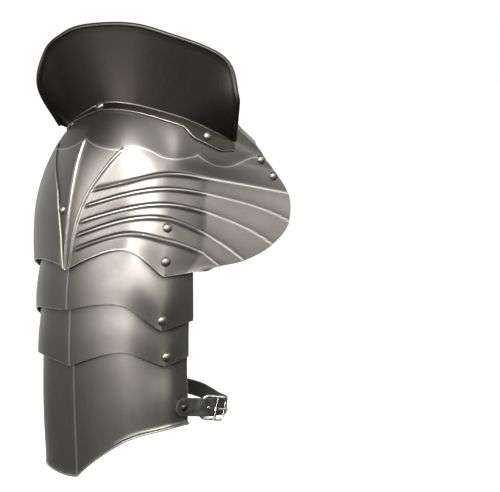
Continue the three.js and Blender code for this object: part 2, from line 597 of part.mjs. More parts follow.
const shoulderBody = sheetBody(shoulderGridColumns.length * 2 - 1, shoulderGridRows.length, shoulderPoint);
addPiece('shoulder_plate',
  cutHoles(shoulderBody, [...upperHinges, ridgeRivet, wingRivet, ...neckRivets, ...guardRivets]), STEEL);
addPiece('upper_lame', cutHoles(upperLame.geometry, [...upperHinges, ...lowerHinges]), STEEL);
addPiece('lower_lame', cutHoles(lowerLame.geometry, [...lowerHinges, ...armHinges]), STEEL);
addPiece('arm_plate', cutHoles(armPlate.geometry, [...armHinges, tabRivet, billetRivet]), STEEL);
const guardBody = sheetBody(GUARD_COLUMNS.length, GUARD_ROWS.length, guardPoint);
addPiece('neck_guard', joined(cutHoles(guardBody, guardRivets), guardBead()), DARK_STEEL);

const addRivet = (name, seat, depth, material) => addPiece(name, rivetGeometry(seat, depth), material);
END_NAMES.forEach((end, i) => {
  addRivet(`upper_hinge_rivet_${end}`, upperHinges[i], UPPER_HINGE_STACKS[i], STEEL);
  addRivet(`lower_hinge_rivet_${end}`, lowerHinges[i], HINGE_STACK, STEEL);
  addRivet(`arm_hinge_rivet_${end}`, armHinges[i], HINGE_STACK, STEEL);
});
addRivet('wing_rivet', wingRivet, ONE_SHEET, STEEL);
addRivet('ridge_rivet', ridgeRivet, ONE_SHEET, STEEL);
neckRivets.forEach((seat, i) => addRivet(`neck_rivet_${i + 1}`, seat, ONE_SHEET, STEEL));
GUARD_NAMES.forEach((name, i) => addRivet(`guard_rivet_${name}`, guardRivets[i], GUARD_STACK, STEEL));

addPiece('strap_tab', cutHoles(tabBody, [tabRivet, tabStud]), LEATHER);
addPiece('strap_billet', cutHoles(billetBody, [billetRivet]), LEATHER);
addRivet('strap_rivet_front', tabRivet, STRAP_STACK, DARK_STEEL);
addRivet('strap_rivet_back', billetRivet, STRAP_STACK, DARK_STEEL);
addRivet('strap_stud', tabStud, STRAP_THICK + 2 * SEAT_GAP, NICKEL);
addPiece('buckle_frame', buckleFrame(), NICKEL);
addPiece('buckle_prong', buckleProng(), NICKEL);

export default pauldron;
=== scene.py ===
"""Looks of the pauldron: satin steel plates with flutes and creases, a dark neck guard with a
rolled rim, domed rivets, and a black leather strap with a nickel buckle.
Sizes are in millimetres until a mesh is laid."""

import math

import bpy
import numpy as np
from mathutils import Matrix, Vector


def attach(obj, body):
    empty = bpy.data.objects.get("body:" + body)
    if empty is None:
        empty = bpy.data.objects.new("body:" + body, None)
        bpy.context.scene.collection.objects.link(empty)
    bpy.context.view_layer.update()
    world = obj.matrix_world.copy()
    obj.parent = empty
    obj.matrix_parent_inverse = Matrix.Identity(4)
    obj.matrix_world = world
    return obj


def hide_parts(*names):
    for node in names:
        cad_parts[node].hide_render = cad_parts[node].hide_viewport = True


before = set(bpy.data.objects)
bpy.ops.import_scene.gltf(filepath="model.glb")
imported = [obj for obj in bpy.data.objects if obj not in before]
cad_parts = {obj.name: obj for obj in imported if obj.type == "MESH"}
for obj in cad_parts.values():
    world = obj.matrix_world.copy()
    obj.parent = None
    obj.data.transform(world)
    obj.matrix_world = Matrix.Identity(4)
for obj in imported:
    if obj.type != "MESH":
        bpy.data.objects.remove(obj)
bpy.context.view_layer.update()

MM = 0.001
SHEET = 1.5

# The shoulder plate, a row for each line round it from the lower edge up to the neck. ridge is [x, z],
# the other stations are [x, y, z], to the front wing's border and, after "back", to the back. vee and
# back_vee are the stations of the two creases, keel is how sharply the ridge folds, kink names a station
# with a corner, lift bows the row behind the ridge, and crease folds the sheet along the row.
SHOULDER_ROWS = [
    {"name": "lower_edge", "ridge": [-40, -125], "vee": 0.07, "back_vee": 0.05, "keel": 1,
     "kink": "front", "lift": 22,
     "side": [-22, -55, -103], "front": [2.7, -75, -125], "bend": [22, -79, -124], "end": [40, -83, -123],
     "back": [[-32.5, 66, -128], [3, 79, -157], [22, 82, -157], [38, 85, -156]]},
    {"name": "flute_5", "ridge": [-39.4, -112], "vee": 0.115, "back_vee": 0.085, "keel": 1, "kink": "bend",
     "side": [-19, -52, -92], "front": [7, -71.5, -97], "bend": [40, -78, -110.5], "end": [53.5, -82, -122.5],
     "back": [[-32, 66, -109], [5, 78, -130], [36, 83, -142], [50, 87, -155]]},
    {"name": "flute_4", "ridge": [-38.2, -101], "vee": 0.145, "back_vee": 0.115, "keel": 0.9, "kink": "bend",
     "side": [-17, -49, -82], "front": [11, -68, -81], "bend": [48.5, -71, -97], "end": [79.5, -82, -121.5],
     "back": [[-31, 66, -96], [7, 77, -113], [44, 82, -124], [72, 90, -150]]},
    {"name": "flute_3", "ridge": [-36.7, -90], "vee": 0.185, "back_vee": 0.165, "keel": 0.8, "kink": "bend",
     "side": [-15, -46, -74], "front": [13, -64.5, -70.5], "bend": [53.5, -65, -80],
     "end": [108.5, -85.5, -111],
     "back": [[-29.5, 66, -84], [8, 76, -98], [49, 80, -107], [95, 94, -138]]},
    {"name": "flute_2", "ridge": [-34.9, -78], "vee": 0.26, "back_vee": 0.23, "keel": 0.7, "kink": "bend",
     "side": [-12, -43, -63], "front": [16, -60, -59], "bend": [58.5, -59, -66], "end": [133, -81, -94],
     "back": [[-27, 65, -71], [9, 75, -84], [53, 78, -92], [112, 92, -120]]},
    {"name": "flute_1", "ridge": [-32.4, -65], "vee": 0.385, "back_vee": 0.31, "keel": 0.6,
     "side": [-11, -40, -54], "front": [19, -56, -48], "bend": [59.5, -56.5, -53.5], "end": [141, -71, -71],
     "back": [[-24, 63, -59], [10, 73, -69], [55, 75, -77], [118, 86, -98]]},
    {"name": "scallop", "ridge": [-17.7, -20.4], "vee": 1, "back_vee": 0.78, "keel": 0.4,
     "side": [-6, -35.5, -27.5], "front": [24, -51.2, -35], "bend": [54, -55.5, -36],
     "end": [130, -64.5, -51],
     "back": [[-12, 54, -28], [12, 67, -42], [55, 70, -53], [112, 76, -68]]},
    {"name": "guard_foot", "ridge": [2, 6], "vee": 1, "back_vee": 0.78, "keel": 0.3,
     "side": [13, -21, 5.5], "front": [36, -37, -1.5], "bend": [63, -49, -12], "end": [122, -61.5, -40],
     "back": [[-2, 36, -7], [9, 57, -17], [55, 66, -30], [112, 72, -55]]},
    {"name": "crown", "ridge": [48, 16], "vee": 1, "back_vee": 0.78, "keel": 0,
     "side": [56, -16, 13], "front": [70, -30, 4], "bend": [88, -42, -9], "end": [120.5, -58, -34.5],
     "back": [[48, 28, 10], [56, 46, -2], [84, 58, -19], [113, 70, -48]]},
    {"name": "neck_root", "ridge": [96, 17], "vee": 1, "back_vee": 0.78, "keel": 0, "crease": True,
     "side": [98, -17, 11], "front": [102, -33, -3], "bend": [107, -45, -17], "end": [118.5, -54.8, -30],
     "back": [[97, 22, 10], [101, 42, -6], [107, 56, -24], [114, 68, -43]]},
    {"name": "neck_edge", "ridge": [104, 23], "vee": 1, "back_vee": 0.78, "keel": 0,
     "side": [105, -15, 17], "front": [107, -30, 2], "bend": [110, -42, -13], "end": [118.8, -52.5, -26],
     "back": [[104, 20, 16], [107, 39, -1], [111, 54, -19], [116, 66, -39]]},
]
# The flutes by row, bowed upwards on the wing by a share of the row spacing
FLUTES = [
    {"row": 1, "bow": 0},
    {"row": 2, "bow": 0.06},
    {"row": 3, "bow": 0.15},
    {"row": 4, "bow": 0.18},
    {"row": 5, "bow": 0.02},
]
SCALLOP = 6
GUARD_FOOT = 7
FLUTE_HEIGHT = 1.5
FLUTE_WIDTH = 1.5
FLUTE_LINE = 0.75
CREASE_HEIGHT = 1.1

# On the wing, between these stations, a flute turns from a bead into a step
WING_FROM = 2.6
WING_TO = 3.3
STEP_HEIGHT = 0.6
STEP_WIDTH = 0.7
STEP_REACH = 6
# The station of the soft fold where the dome turns into the wing, along which a band of painted shade darkens
# the sheet
FOLD = 2.88

# The lames and the arm plate, from the covered top edge down. Behind the ridge they reach out by
# "reach" and hang lower by "sag" for each millimetre away from the ridge.
UPPER_LAME_ROWS = [
    {"ridge": [-34.4, -102], "side": [-17, -48.5, -97], "back_side": [-25, 59.2, -119.2],
     "front": [6, -67.6, -101], "end": [34, -71.5, -112], "keel": 1, "sag": 0.42},
    {"ridge": [-37.8, -128], "side": [-20, -52.5, -114], "back_side": [-28, 63.3, -137.8],
     "front": [4.5, -71, -120], "end": [33, -73.2, -128], "keel": 1, "sag": 0.42},
    {"ridge": [-39.7, -142], "side": [-23.5, -53, -129], "back_side": [-31.5, 63.9, -153],
     "front": [0, -74.4, -145], "end": [32, -74.4, -147], "keel": 1, "sag": 0.42},
    {"ridge": [-40.9, -158], "side": [-26, -52, -147.5], "back_side": [-34, 62.8, -171.1],
     "front": [-1.2, -75.4, -168], "end": [31, -75.4, -165], "keel": 1, "sag": 0.42, "kink": "front"},
]
LOWER_LAME_ROWS = [
    {"ridge": [-36.4, -140], "side": [-21.5, -48.5, -133], "back_side": [-29.5, 59.2, -155.2],
     "front": [0, -70.7, -146], "end": [30, -71.2, -148], "keel": 1, "sag": 0.42},
    {"ridge": [-37.6, -162], "side": [-22.5, -50.5, -155], "back_side": [-30.5, 61, -177.9],
     "front": [0, -71.9, -163], "end": [29, -72, -166], "keel": 1, "sag": 0.42},
    {"ridge": [-39.2, -182], "side": [-24, -52, -169], "back_side": [-32, 62.8, -192.6],
     "front": [1.5, -73.4, -180], "end": [27.5, -73.4, -180], "keel": 1, "sag": 0.42},
    {"ridge": [-40.2, -205.7], "side": [-25.5, -52.5, -186], "back_side": [-33.5, 63.3, -209.8],
     "front": [2, -75, -197.5], "end": [26, -75, -194], "keel": 1, "sag": 0.42, "kink": "front"},
]
ARM_PLATE_ROWS = [
    {"ridge": [-35.2, -172], "side": [-21, -47.5, -166], "back_side": [-29, 58.2, -187.7],
     "front": [4.5, -70.2, -178], "end": [28, -71.4, -180], "keel": 1, "sag": 0.42},
    {"ridge": [-36.2, -212], "side": [-22.5, -49.5, -198], "back_side": [-30.5, 60.3, -222.3],
     "front": [3.5, -71.8, -203], "end": [26.5, -72, -203], "keel": 1, "sag": 0.45},
    {"ridge": [-36.8, -255], "side": [-23.5, -50.5, -230], "back_side": [-31.5, 61.3, -263.7],
     "front": [1.5, -74.4, -226], "end": [25, -74.4, -226], "keel": 1, "sag": 0.6, "lift": -6},
    {"ridge": [-36.6, -302.5], "side": [-23, -51, -260], "back_side": [-31, 61.4, -308.7],
     "front": [1, -75, -248], "end": [24, -75, -249], "keel": 1, "sag": 0.85, "lift": -18},
]
BACK_REACH = 1.03
# The way a sharp ridge leaves along x, y and z, against the straight way to the next station
KEEL_WAY = [0.35, 1, 1.15]
# Millimetres for each station beside the ridge, and half the width of the painted highlight along it
RIDGE_SPAN = 58
RIDGE_LINE = 0.7
# The radius of the arm plate's turned rim
RIM_TURN = 2.2
# The shade under a covering plate: the gap to that plate's edge and how far the shade spreads
COVER_GAP = 1.8
SHADE_REACH = 2.2

# The neck guard's rim, on the same stations as its foot. The foot reaches to these stations of the
# shoulder plate, widens to a tongue in front and narrows again at its tip.
GUARD_RIM = {
    "ridge": [-17, 66], "side": [4.7, -27.7, 67.4], "front": [26.7, -46.7, 60.9], "bend": [68.1, -71, 41.8],
    "end": [76.6, -78, 9.8], "keel": 0,
    "back": [[-25, 18, 59.5], [-29, 36, 48], [-29.4, 49.5, 20], [-5, 60, -12]],
}
GUARD_GAP = 0.5
GUARD_REACH = 3.52
GUARD_BACK_REACH = 2.05
GUARD_BELLY = 1
GUARD_HEIGHT = 60
FOOT_WIDTH = 9
TONGUE_EXTRA = 5
TIP_LESS = 5
RIM_RADIUS = 2.1

STATIONS = ["side", "front", "bend", "end"]

# Vertex marks for the materials are 0 where a piece has none: edge counts down from EDGE_ZONE at the
# border, and scallop is SCALLOP_ZERO on the engraved line
EDGE_ZONE = 12
SCALLOP_ZERO = 20
SCALLOP_REACH = 8


def smoothstep(value, low, high):
    share = np.clip((np.asarray(value, float) - low) / (high - low), 0, 1)
    return share * share * (3 - 2 * share)


def unit(vectors):
    return vectors / np.maximum(np.linalg.norm(vectors, axis=-1, keepdims=True), 1e-9)


# Surfaces: smooth lines through the stations of a row, and a smooth sheet through the rows


def row_points(row, to_back):
    ridge = [row["ridge"][0], 0, row["ridge"][1]]
    present = [station for station in STATIONS if station in row]
    if not to_back:
        return np.array([ridge] + [row[station] for station in present], float)
    if "back" in row:
        return np.array([ridge] + row["back"], float)
    behind = [[x, -y * BACK_REACH, z + y * row["sag"]] for x, y, z in (row["front"], row["end"])]
    return np.array([ridge, row["back_side"]] + behind, float)


def hermite(start, leave, stop, arrive, share):
    f = share[..., None]
    return (
        start * (2 * f**3 - 3 * f**2 + 1)
        + leave * (f**3 - 2 * f**2 + f)
        + stop * (3 * f**2 - 2 * f**3)
        + arrive * (f**3 - f**2)
    )


def half_line(row, to_back, t):
    points = row_points(row, to_back)
    others = row_points(row, not to_back)
    last = len(points) - 1
    steps = np.diff(points, axis=0)
    leave = np.empty_like(points)
    leave[1:last] = (points[2:] - points[:-2]) / 2
    leave[last] = steps[-1]
    creased = steps[0] * KEEL_WAY
    leave[0] = (points[1] - others[1]) / 2 * (1 - row["keel"]) + creased * row["keel"]
    arrive = leave.copy()
    if to_back:
        leave[0, 2] += row.get("lift", 0)
    if to_back and "sag" in row:
        lengths = np.linalg.norm(steps, axis=1)[:, None]
        ways = steps / lengths
        way = (ways[:-1] * lengths[1:] + ways[1:] * lengths[:-1]) / (lengths[1:] + lengths[:-1])
        leave[1:last], arrive[1:last] = way * lengths[1:], way * lengths[:-1]
    present = ["ridge"] + [station for station in STATIONS if station in row]
    kink = row.get("kink")
    if kink and not (to_back and kink == "bend"):
        corner = present.index(kink)
        leave[corner] = steps[corner]
        arrive[corner] = steps[corner - 1]
    i = np.clip(np.floor(t).astype(int), 0, last - 1)
    return hermite(points[i], leave[i], points[i + 1], arrive[i + 1], np.minimum(t, last) - i)


def line_at(row, t):
    t = np.asarray(t, float)
    return np.where((t < 0)[..., None], half_line(row, True, np.abs(t)), half_line(row, False, np.abs(t)))


def sheet_at(rows, s, t):
    """Points of the sheet at s, counted in rows, and t, counted in stations and negative behind the ridge."""
    s, t = np.broadcast_arrays(np.asarray(s, float), np.asarray(t, float))
    last = len(rows) - 1
    points = np.stack([line_at(row, t) for row in rows])
    slopes = np.diff(points, axis=0)
    lengths = np.maximum(np.linalg.norm(slopes, axis=-1, keepdims=True), 1e-3)
    straight = slopes / lengths
    leave = np.empty_like(points)
    before, after = lengths[:-1], lengths[1:]
    leave[1:last] = (straight[:-1] * after + straight[1:] * before) / (before + after)
    leave[0], leave[last] = straight[0], straight[-1]
    arrive = leave.copy()
    for k, row in enumerate(rows):
        if row.get("crease"):
            leave[k], arrive[k] = straight[k], straight[k - 1]
    i = np.clip(np.floor(np.clip(s, 0, last)).astype(int), 0, last - 1)

    def pick(values, index):
        return np.take_along_axis(values, index[None, ..., None], axis=0)[0]

    run = pick(lengths, i)
    share = np.clip(s, 0, last) - i
    start, start_way = pick(points, i), pick(leave, i) * run
    stop, stop_way = pick(points, i + 1), pick(arrive, i + 1) * run
    return hermite(start, start_way, stop, stop_way, share)


def sheet_normal(rows, s, t, outwards):
    """Outward unit normals by small steps that stay inside the sheet."""
    h = 0.02
    s, t = np.broadcast_arrays(np.asarray(s, float), np.asarray(t, float))
    last = len(rows) - 1
    reach = len([station for station in STATIONS if station in rows[0]])
    low_s = np.clip(s - h, 0, last - 2 * h)
    low_t = np.clip(t - h, -reach, reach - 2 * h)
    along_rows = sheet_at(rows, low_s + 2 * h, t) - sheet_at(rows, low_s, t)
    along_line = sheet_at(rows, s, low_t + 2 * h) - sheet_at(rows, s, low_t)
    return unit(np.cross(along_line, along_rows)) * outwards


# Hand tools


def deselect():
    bpy.ops.object.select_all(action="DESELECT")


def work_on(piece):
    deselect()
    piece.select_set(True)
    bpy.context.view_layer.objects.active = piece


def lay_grid(name, points):
    """A grid primitive laid on points[row, column], rows upwards and columns from back to front."""
    rows, columns = points.shape[:2]
    deselect()
    bpy.ops.mesh.primitive_grid_add(x_subdivisions=columns - 1, y_subdivisions=rows - 1, size=2)
    piece = bpy.context.object
    piece.name = name
    flat = np.zeros(len(piece.data.vertices) * 3, np.float32)
    piece.data.vertices.foreach_get("co", flat)
    flat = flat.reshape(-1, 3)
    column = np.rint((flat[:, 0] + 1) / 2 * (columns - 1)).astype(int)
    row = np.rint((flat[:, 1] + 1) / 2 * (rows - 1)).astype(int)
    piece.data.vertices.foreach_set("co", (points[row, column] * MM).astype(np.float32).ravel())
    piece.data.update()
    return piece, row, column


def mark(piece, name, values):
    attribute = piece.data.attributes.new(name, "FLOAT", "POINT")
    attribute.data.foreach_set("value", np.asarray(values, np.float32).ravel())


def apply_modifier(piece, kind, **settings):
    work_on(piece)
    modifier = piece.modifiers.new(kind.title(), kind)
    for key, value in settings.items():
        setattr(modifier, key, value)
    bpy.ops.object.modifier_apply(modifier=modifier.name)


def thicken(piece, thickness):
    apply_modifier(piece, "SOLIDIFY", thickness=thickness * MM, offset=-1)


def round_edges(piece, width, segments=2, angle=50):
    apply_modifier(
        piece, "BEVEL", width=width * MM, segments=segments,
        limit_method="ANGLE", angle_limit=math.radians(angle),
    )


def smooth(piece, angle):
    work_on(piece)
    bpy.ops.object.shade_smooth_by_angle(angle=math.radians(angle))


def edge_distance(points):
    """Distance in millimetres from each grid point to the sheet's border, along rows and columns."""
    across = np.linalg.norm(np.diff(points, axis=1), axis=-1)
    along = np.linalg.norm(np.diff(points, axis=0), axis=-1)
    from_back = np.concatenate([np.zeros((len(points), 1)), np.cumsum(across, axis=1)], axis=1)
    from_low = np.concatenate([np.zeros((1, points.shape[1])), np.cumsum(along, axis=0)], axis=0)
    return np.minimum(
        np.minimum(from_back, from_back[:, -1:] - from_back), np.minimum(from_low, from_low[-1:] - from_low)
    )


def lay_tube(name, path, radius, sides, closed):
    """A round tube along a path of points: a grid laid round it, its seam merged and its ends filled."""
    path = np.asarray(path, float)
    if closed:
        path = np.concatenate([path, path[:1]])
        ahead = np.roll(path[:-1], -1, axis=0) - np.roll(path[:-1], 1, axis=0)
        ahead = np.concatenate([ahead, ahead[:1]])
    else:
        ahead = np.gradient(path, axis=0)
    ahead = unit(ahead)
    sideways = np.zeros_like(path)
    start = np.array([0.0, 0.0, 1.0]) if abs(ahead[0][2]) < 0.9 else np.array([1.0, 0.0, 0.0])
    for i, direction in enumerate(ahead):
        start = start - direction * start.dot(direction)
        start = start / np.linalg.norm(start)
        sideways[i] = start
    if closed:
        sideways[-1] = sideways[0]
    other = np.cross(ahead, sideways)
    angle = np.linspace(0, 2 * math.pi, sides + 1)
    radius = np.broadcast_to(np.asarray(radius, float), (len(path),))
    ring = np.cos(angle)[None, :, None] * sideways[:, None] + np.sin(angle)[None, :, None] * other[:, None]
    piece, _, _ = lay_grid(name, path[:, None] + ring * radius[:, None, None])
    work_on(piece)
    bpy.ops.object.mode_set(mode="EDIT")
    bpy.ops.mesh.select_all(action="SELECT")
    bpy.ops.mesh.remove_doubles(threshold=0.02 * MM)
    if not closed:
        bpy.ops.mesh.select_all(action="DESELECT")
        bpy.ops.mesh.select_non_manifold()
        bpy.ops.mesh.fill()
    bpy.ops.mesh.select_all(action="SELECT")
    bpy.ops.mesh.normals_make_consistent(inside=False)
    bpy.ops.object.mode_set(mode="OBJECT")
    return piece


def join(first, *others):
    deselect()
    for piece in (first, *others):
        piece.select_set(True)
    bpy.context.view_layer.objects.active = first
    bpy.ops.object.join()
    return first


# Shoulder plate

# The engraved line over the flutes, drawn as painted shade above it and a painted highlight along it: arcs
# from cusp to cusp, each through points by station t and row s
SCALLOP_ARCS = [
    [{"t": -5, "s": 5.9}, {"t": -2.9, "s": 5.7}, {"t": -0.68, "s": 5.8}],
    [{"t": -0.68, "s": 5.8}, {"t": -0.25, "s": 5.84}, {"t": 0.02, "s": 6}],
    [{"t": 0.02, "s": 6}, {"t": 0.4, "s": 5.9}, {"t": 0.97, "s": 5.95}],
    [{"t": 0.97, "s": 5.95}, {"t": 1.9, "s": 6}, {"t": 2.5, "s": 5.86}, {"t": 3, "s": 6.06}],
    [{"t": 3, "s": 6.06}, {"t": 3.1, "s": 5.86}, {"t": 3.25, "s": 5.7}, {"t": 3.45, "s": 5.82},
     {"t": 4, "s": 6.7}],
]


# Half widths, in stations, of the fine columns along a crease and along the ridge, at most this share of
# the room between them
CREASE_ZONE = 0.06
RIDGE_ZONE = 0.045
ZONE_SHARE = 0.4


def scallop_row(t):
    """Row s of the engraved line at station t."""
    s = np.zeros_like(t)
    for arc in SCALLOP_ARCS:
        stations = [point["t"] for point in arc]
        curve = np.polyfit(stations, [point["s"] for point in arc], len(arc) - 1)
        s = np.where((t >= stations[0]) & (t <= stations[-1]), np.polyval(curve, t), s)
    return s


def vee_at(s, side):
    return np.interp(s, np.arange(len(SHOULDER_ROWS)), [row[side] for row in SHOULDER_ROWS])


def spans(*stretches):
    """Even steps over each stretch (from, to, steps), end to end."""
    parts = [np.linspace(low, high, steps, endpoint=False) for low, high, steps in stretches]
    return np.concatenate([*parts, [stretches[-1][1]]])


def shoulder_grid():
    """Rows s and stations t of the grid: columns crowd along the ridge and along the creases of the vee."""
    s = spans((0, 5.3, 100), (5.3, 6, 16), (6, 7, 18), (7, 8, 8), (8, 9, 8), (9, 10, 5))
    front = spans((0, 1, 8), (1, 2, 8), (2, 3, 14), (3, 4, 44), (4, 5, 26), (5, 6, 40))
    back = spans((0, 1, 8), (1, 2, 8), (2, 3, 14), (3, 4, 24), (4, 5, 12), (5, 6, 16))
    column = np.concatenate([-back[:0:-1], front])
    s, column = np.meshgrid(s, column, indexing="ij")
    vee = np.where(column < 0, vee_at(s, "back_vee"), vee_at(s, "vee"))
    half = np.minimum(CREASE_ZONE, vee * ZONE_SHARE)
    ridge = np.minimum(RIDGE_ZONE, (vee - half) * ZONE_SHARE)
    knots = [ridge * 0, ridge, vee - half, vee + half, ridge * 0 + 2, ridge * 0 + 3, ridge * 0 + 4]
    c = np.abs(column)
    t = np.zeros_like(c)
    for k in range(6):
        inside = (c >= k) & (c <= k + 1)
        t = np.where(inside, knots[k] + (knots[k + 1] - knots[k]) * (c - k), t)
    return s, t * np.sign(column), vee


def bead(distance, width):
    return np.exp(-((distance / width) ** 2))


def add_flutes(marks, s, t, vee, along):
    """Beads beside the vee that turn into steps on the wing, each with a painted highlight below and painted
    shade above its line, and painted shade along the fold.
    """
    start = smoothstep(t - vee, 0.06, 0.13)
    # painted shade along the soft fold where the dome turns into the wing
    past_fold = np.where(t > FOLD, bead(t - FOLD, 0.08), 1)
    fold = bead(t - FOLD, 0.2) * past_fold * smoothstep(SCALLOP - s, 1.4, 3.2)
    marks["painted_shade"] += 0.5 * fold
    wing = smoothstep(t, WING_FROM, WING_TO)
    out = np.clip(t - 3, 0, 1)
    for flute in FLUTES:
        d = (s - flute["row"] - flute["bow"] * 4 * out * (1 - out)) * along
        step = -STEP_HEIGHT * np.tanh(d / STEP_WIDTH) * np.exp(-np.abs(d) / STEP_REACH)
        marks["height"] += start * ((1 - wing) * FLUTE_HEIGHT * bead(d, FLUTE_WIDTH) + wing * step)
        # painted highlight along each flute line; painted shade above it and, on the beads, below it
        marks["crest"] += start * bead(d + 0.1 + 0.5 * wing, FLUTE_LINE)
        above = (1 - wing) * bead(d - 1.9, 0.8) + wing * np.where(d > 0.3, np.exp(-d / 3.5), 0)
        marks["painted_shade"] += start * (above + (1 - wing) * 0.45 * bead(d + 2.4, 0.9))


def add_vee(marks, s, t, across):
    """The ridge, a flat bead with a painted highlight on each side and painted shade beyond it, and the
    creases before and behind it, each with painted highlight and painted shade beside it.
    """
    top = smoothstep(SCALLOP - s, 0.0, 0.08)
    upper = smoothstep(s, 1, 6)
    width = 0.9 + 0.7 * upper
    d = t * across / width
    marks["height"] += CREASE_HEIGHT * top * (0.75 * np.exp(-(d**4)) + 0.35 * bead(np.abs(d) - 0.72, 0.3))
    # painted highlight along both sides of the ridge bead, painted shade just beyond them
    marks["crest"] += top * (0.3 + 0.4 * upper) * bead(np.abs(d) - 0.75, 0.3)
    marks["painted_shade"] += top * 0.8 * bead(np.abs(d) - 1.5, 0.4)
    d = (t - vee_at(s, "vee")) * across
    flank = 0.7 + 1.8 * upper
    marks["height"] += CREASE_HEIGHT * top * np.where(d < 0, bead(d, 0.7), bead(d, flank))
    # painted highlight on the front crease and its flank, painted shade before it
    flank_shine = np.where(d > 0.3, bead(d - 0.3, flank * 0.6), 0)
    marks["crest"] += top * (0.3 * bead(d - 0.3, 0.5) + 0.1 * upper * flank_shine)
    marks["painted_shade"] += top * bead(d + 1.1, 0.6)
    # fine painted strokes of highlight and shade beside the front crease near the top
    strokes = top * smoothstep(s, 5.0, 5.7)
    marks["crest"] += strokes * bead(d - 3.4, 0.45)
    marks["painted_shade"] += strokes * 0.8 * bead(d - 2.4, 0.4)
    d = (t + vee_at(s, "back_vee")) * across
    marks["height"] += CREASE_HEIGHT * 0.8 * top * np.where(d < 0, bead(d, 1.3), bead(d, 0.6))
    # painted highlight and painted shade along the crease behind the ridge
    marks["crest"] += top * 0.5 * bead(d + 0.2, 0.5)
    marks["painted_shade"] += top * np.where(d > 0.8, bead(d - 0.8, 2.6), bead(d - 0.8, 0.4))


def make_shoulder():
    s, t, vee = shoulder_grid()
    base = sheet_at(SHOULDER_ROWS, s, t)
    normal = sheet_normal(SHOULDER_ROWS, s, t, 1)
    along = np.linalg.norm(np.gradient(base, axis=0), axis=-1) / np.gradient(s, axis=0)
    across = np.linalg.norm(np.gradient(base, axis=1), axis=-1) / np.gradient(t, axis=1)
    marks = {name: np.zeros_like(s) for name in ("height", "crest", "painted_shade")}
    add_flutes(marks, s, t, vee, along)
    add_vee(marks, s, t, across)
    # a painted highlight along the front of the neck edge
    neck_shine = 0.9 * smoothstep(s, 8.9, 9.2) * smoothstep(t, 2.2, 2.6)
    marks["crest"] += neck_shine
    points = base + normal * marks["height"][..., None]
    slant = np.gradient(scallop_row(t), axis=1) / np.gradient(t, axis=1) / across
    scallop = (s - scallop_row(t)) / np.hypot(1 / along, slant)
    piece, row, column = lay_grid("shoulder_plate_looks", points)
    mark(piece, "edge", EDGE_ZONE - np.minimum(edge_distance(points), EDGE_ZONE)[row, column])
    mark(piece, "crest", np.clip(marks["crest"], 0, 1)[row, column])
    mark(piece, "painted_shade", np.clip(marks["painted_shade"], 0, 1)[row, column])
    mark(piece, "scallop", SCALLOP_ZERO + np.clip(scallop, -SCALLOP_REACH, SCALLOP_REACH)[row, column])
    thicken(piece, SHEET)
    round_edges(piece, 0.4)
    smooth(piece, 40)
    return finish_piece(piece, "shoulder", "steel", "shoulder_plate")


# Lames and arm plate


def make_plate(name, rows, body, cover, rim=False):
    last = len(rows) - 1
    s = np.linspace(0, last, 46)
    side = spans((0, 0.06, 3), (0.06, 2, 46), (2, 3, 12))
    t = np.concatenate([-side[:0:-1], side])
    s_grid, t_grid = np.meshgrid(s[::-1], t, indexing="ij")
    points = sheet_at(rows, s_grid, t_grid)
    normal = sheet_normal(rows, s_grid, t_grid, -1)
    if rim:
        points = with_turned_rim(points, normal, t)
        t_grid = np.broadcast_to(t, points.shape[:2])
    points[:, len(side) - 1, 1] = 0
    piece, row, column = lay_grid(name + "_looks", points)
    mark(piece, "edge", EDGE_ZONE - np.minimum(edge_distance(points), EDGE_ZONE)[row, column])
    # a painted highlight along the ridge
    mark(piece, "crest", bead(t_grid * RIDGE_SPAN, RIDGE_LINE)[row, column])
    # painted shade under the edge of the covering plate
    under = np.linalg.norm(points[:, :, None] - cover, axis=-1).min(axis=2)
    mark(piece, "painted_shade", bead(np.maximum(under - COVER_GAP, 0), SHADE_REACH)[row, column])
    thicken(piece, SHEET)
    round_edges(piece, 0.4)
    smooth(piece, 32)
    return finish_piece(piece, body, "steel", name)


def lower_edge(rows, s):
    """Points along the lower edge of a plate."""
    return sheet_at(rows, s, np.linspace(-3, 3, 240))


def with_turned_rim(points, normal, t):
    """Rows below the lower edge that turn the sheet outwards in a quarter round."""
    radius = RIM_TURN * (0.25 + 0.75 * smoothstep(t, -0.1, 0.5))[:, None]
    turns = np.radians([100, 80, 60, 40, 20])
    down = unit(points[0] - points[1])
    rows = []
    for turn in turns:
        outwards = normal[0] * (1 - np.cos(turn))
        rows.append(points[0] + radius * (outwards + down * (np.sin(turn) - 1)))
    return np.concatenate([np.stack(rows), points[2:]])


# Neck guard


def guard_foot(t, along):
    spacing = np.linalg.norm(
        sheet_at(SHOULDER_ROWS, GUARD_FOOT - 1, t) - sheet_at(SHOULDER_ROWS, GUARD_FOOT, t), axis=-1
    )
    tongue = smoothstep(t, 2.55, 2.95)
    tip = smoothstep(t, 3.3, GUARD_REACH)
    s = GUARD_FOOT - along * (FOOT_WIDTH + TONGUE_EXTRA * tongue - TIP_LESS * tip) / spacing
    return sheet_at(SHOULDER_ROWS, s, t) + sheet_normal(SHOULDER_ROWS, s, t, 1) * GUARD_GAP


def guard_wall(t, up):
    foot = guard_foot(t, np.zeros_like(t))
    rim = line_at(GUARD_RIM, t * 4 / np.where(t < 0, GUARD_BACK_REACH, GUARD_REACH))
    across = rim - foot
    inward = np.array([1.0, 0, 0]) - across * (across[..., :1] / np.sum(across**2, axis=-1, keepdims=True))
    flat = np.maximum(smoothstep(-t, 0, 1.2), smoothstep(t, 2.6, GUARD_REACH))
    belly = GUARD_BELLY * (1 - flat) * np.sin(math.pi * up)
    return foot + across * up[..., None] + unit(inward) * belly[..., None]


def guard_at(v, t):
    v, t = np.broadcast_arrays(np.asarray(v, float), np.asarray(t, float))
    return np.where((v < 0)[..., None], guard_foot(t, -np.minimum(v, 0)), guard_wall(t, np.maximum(v, 0)))


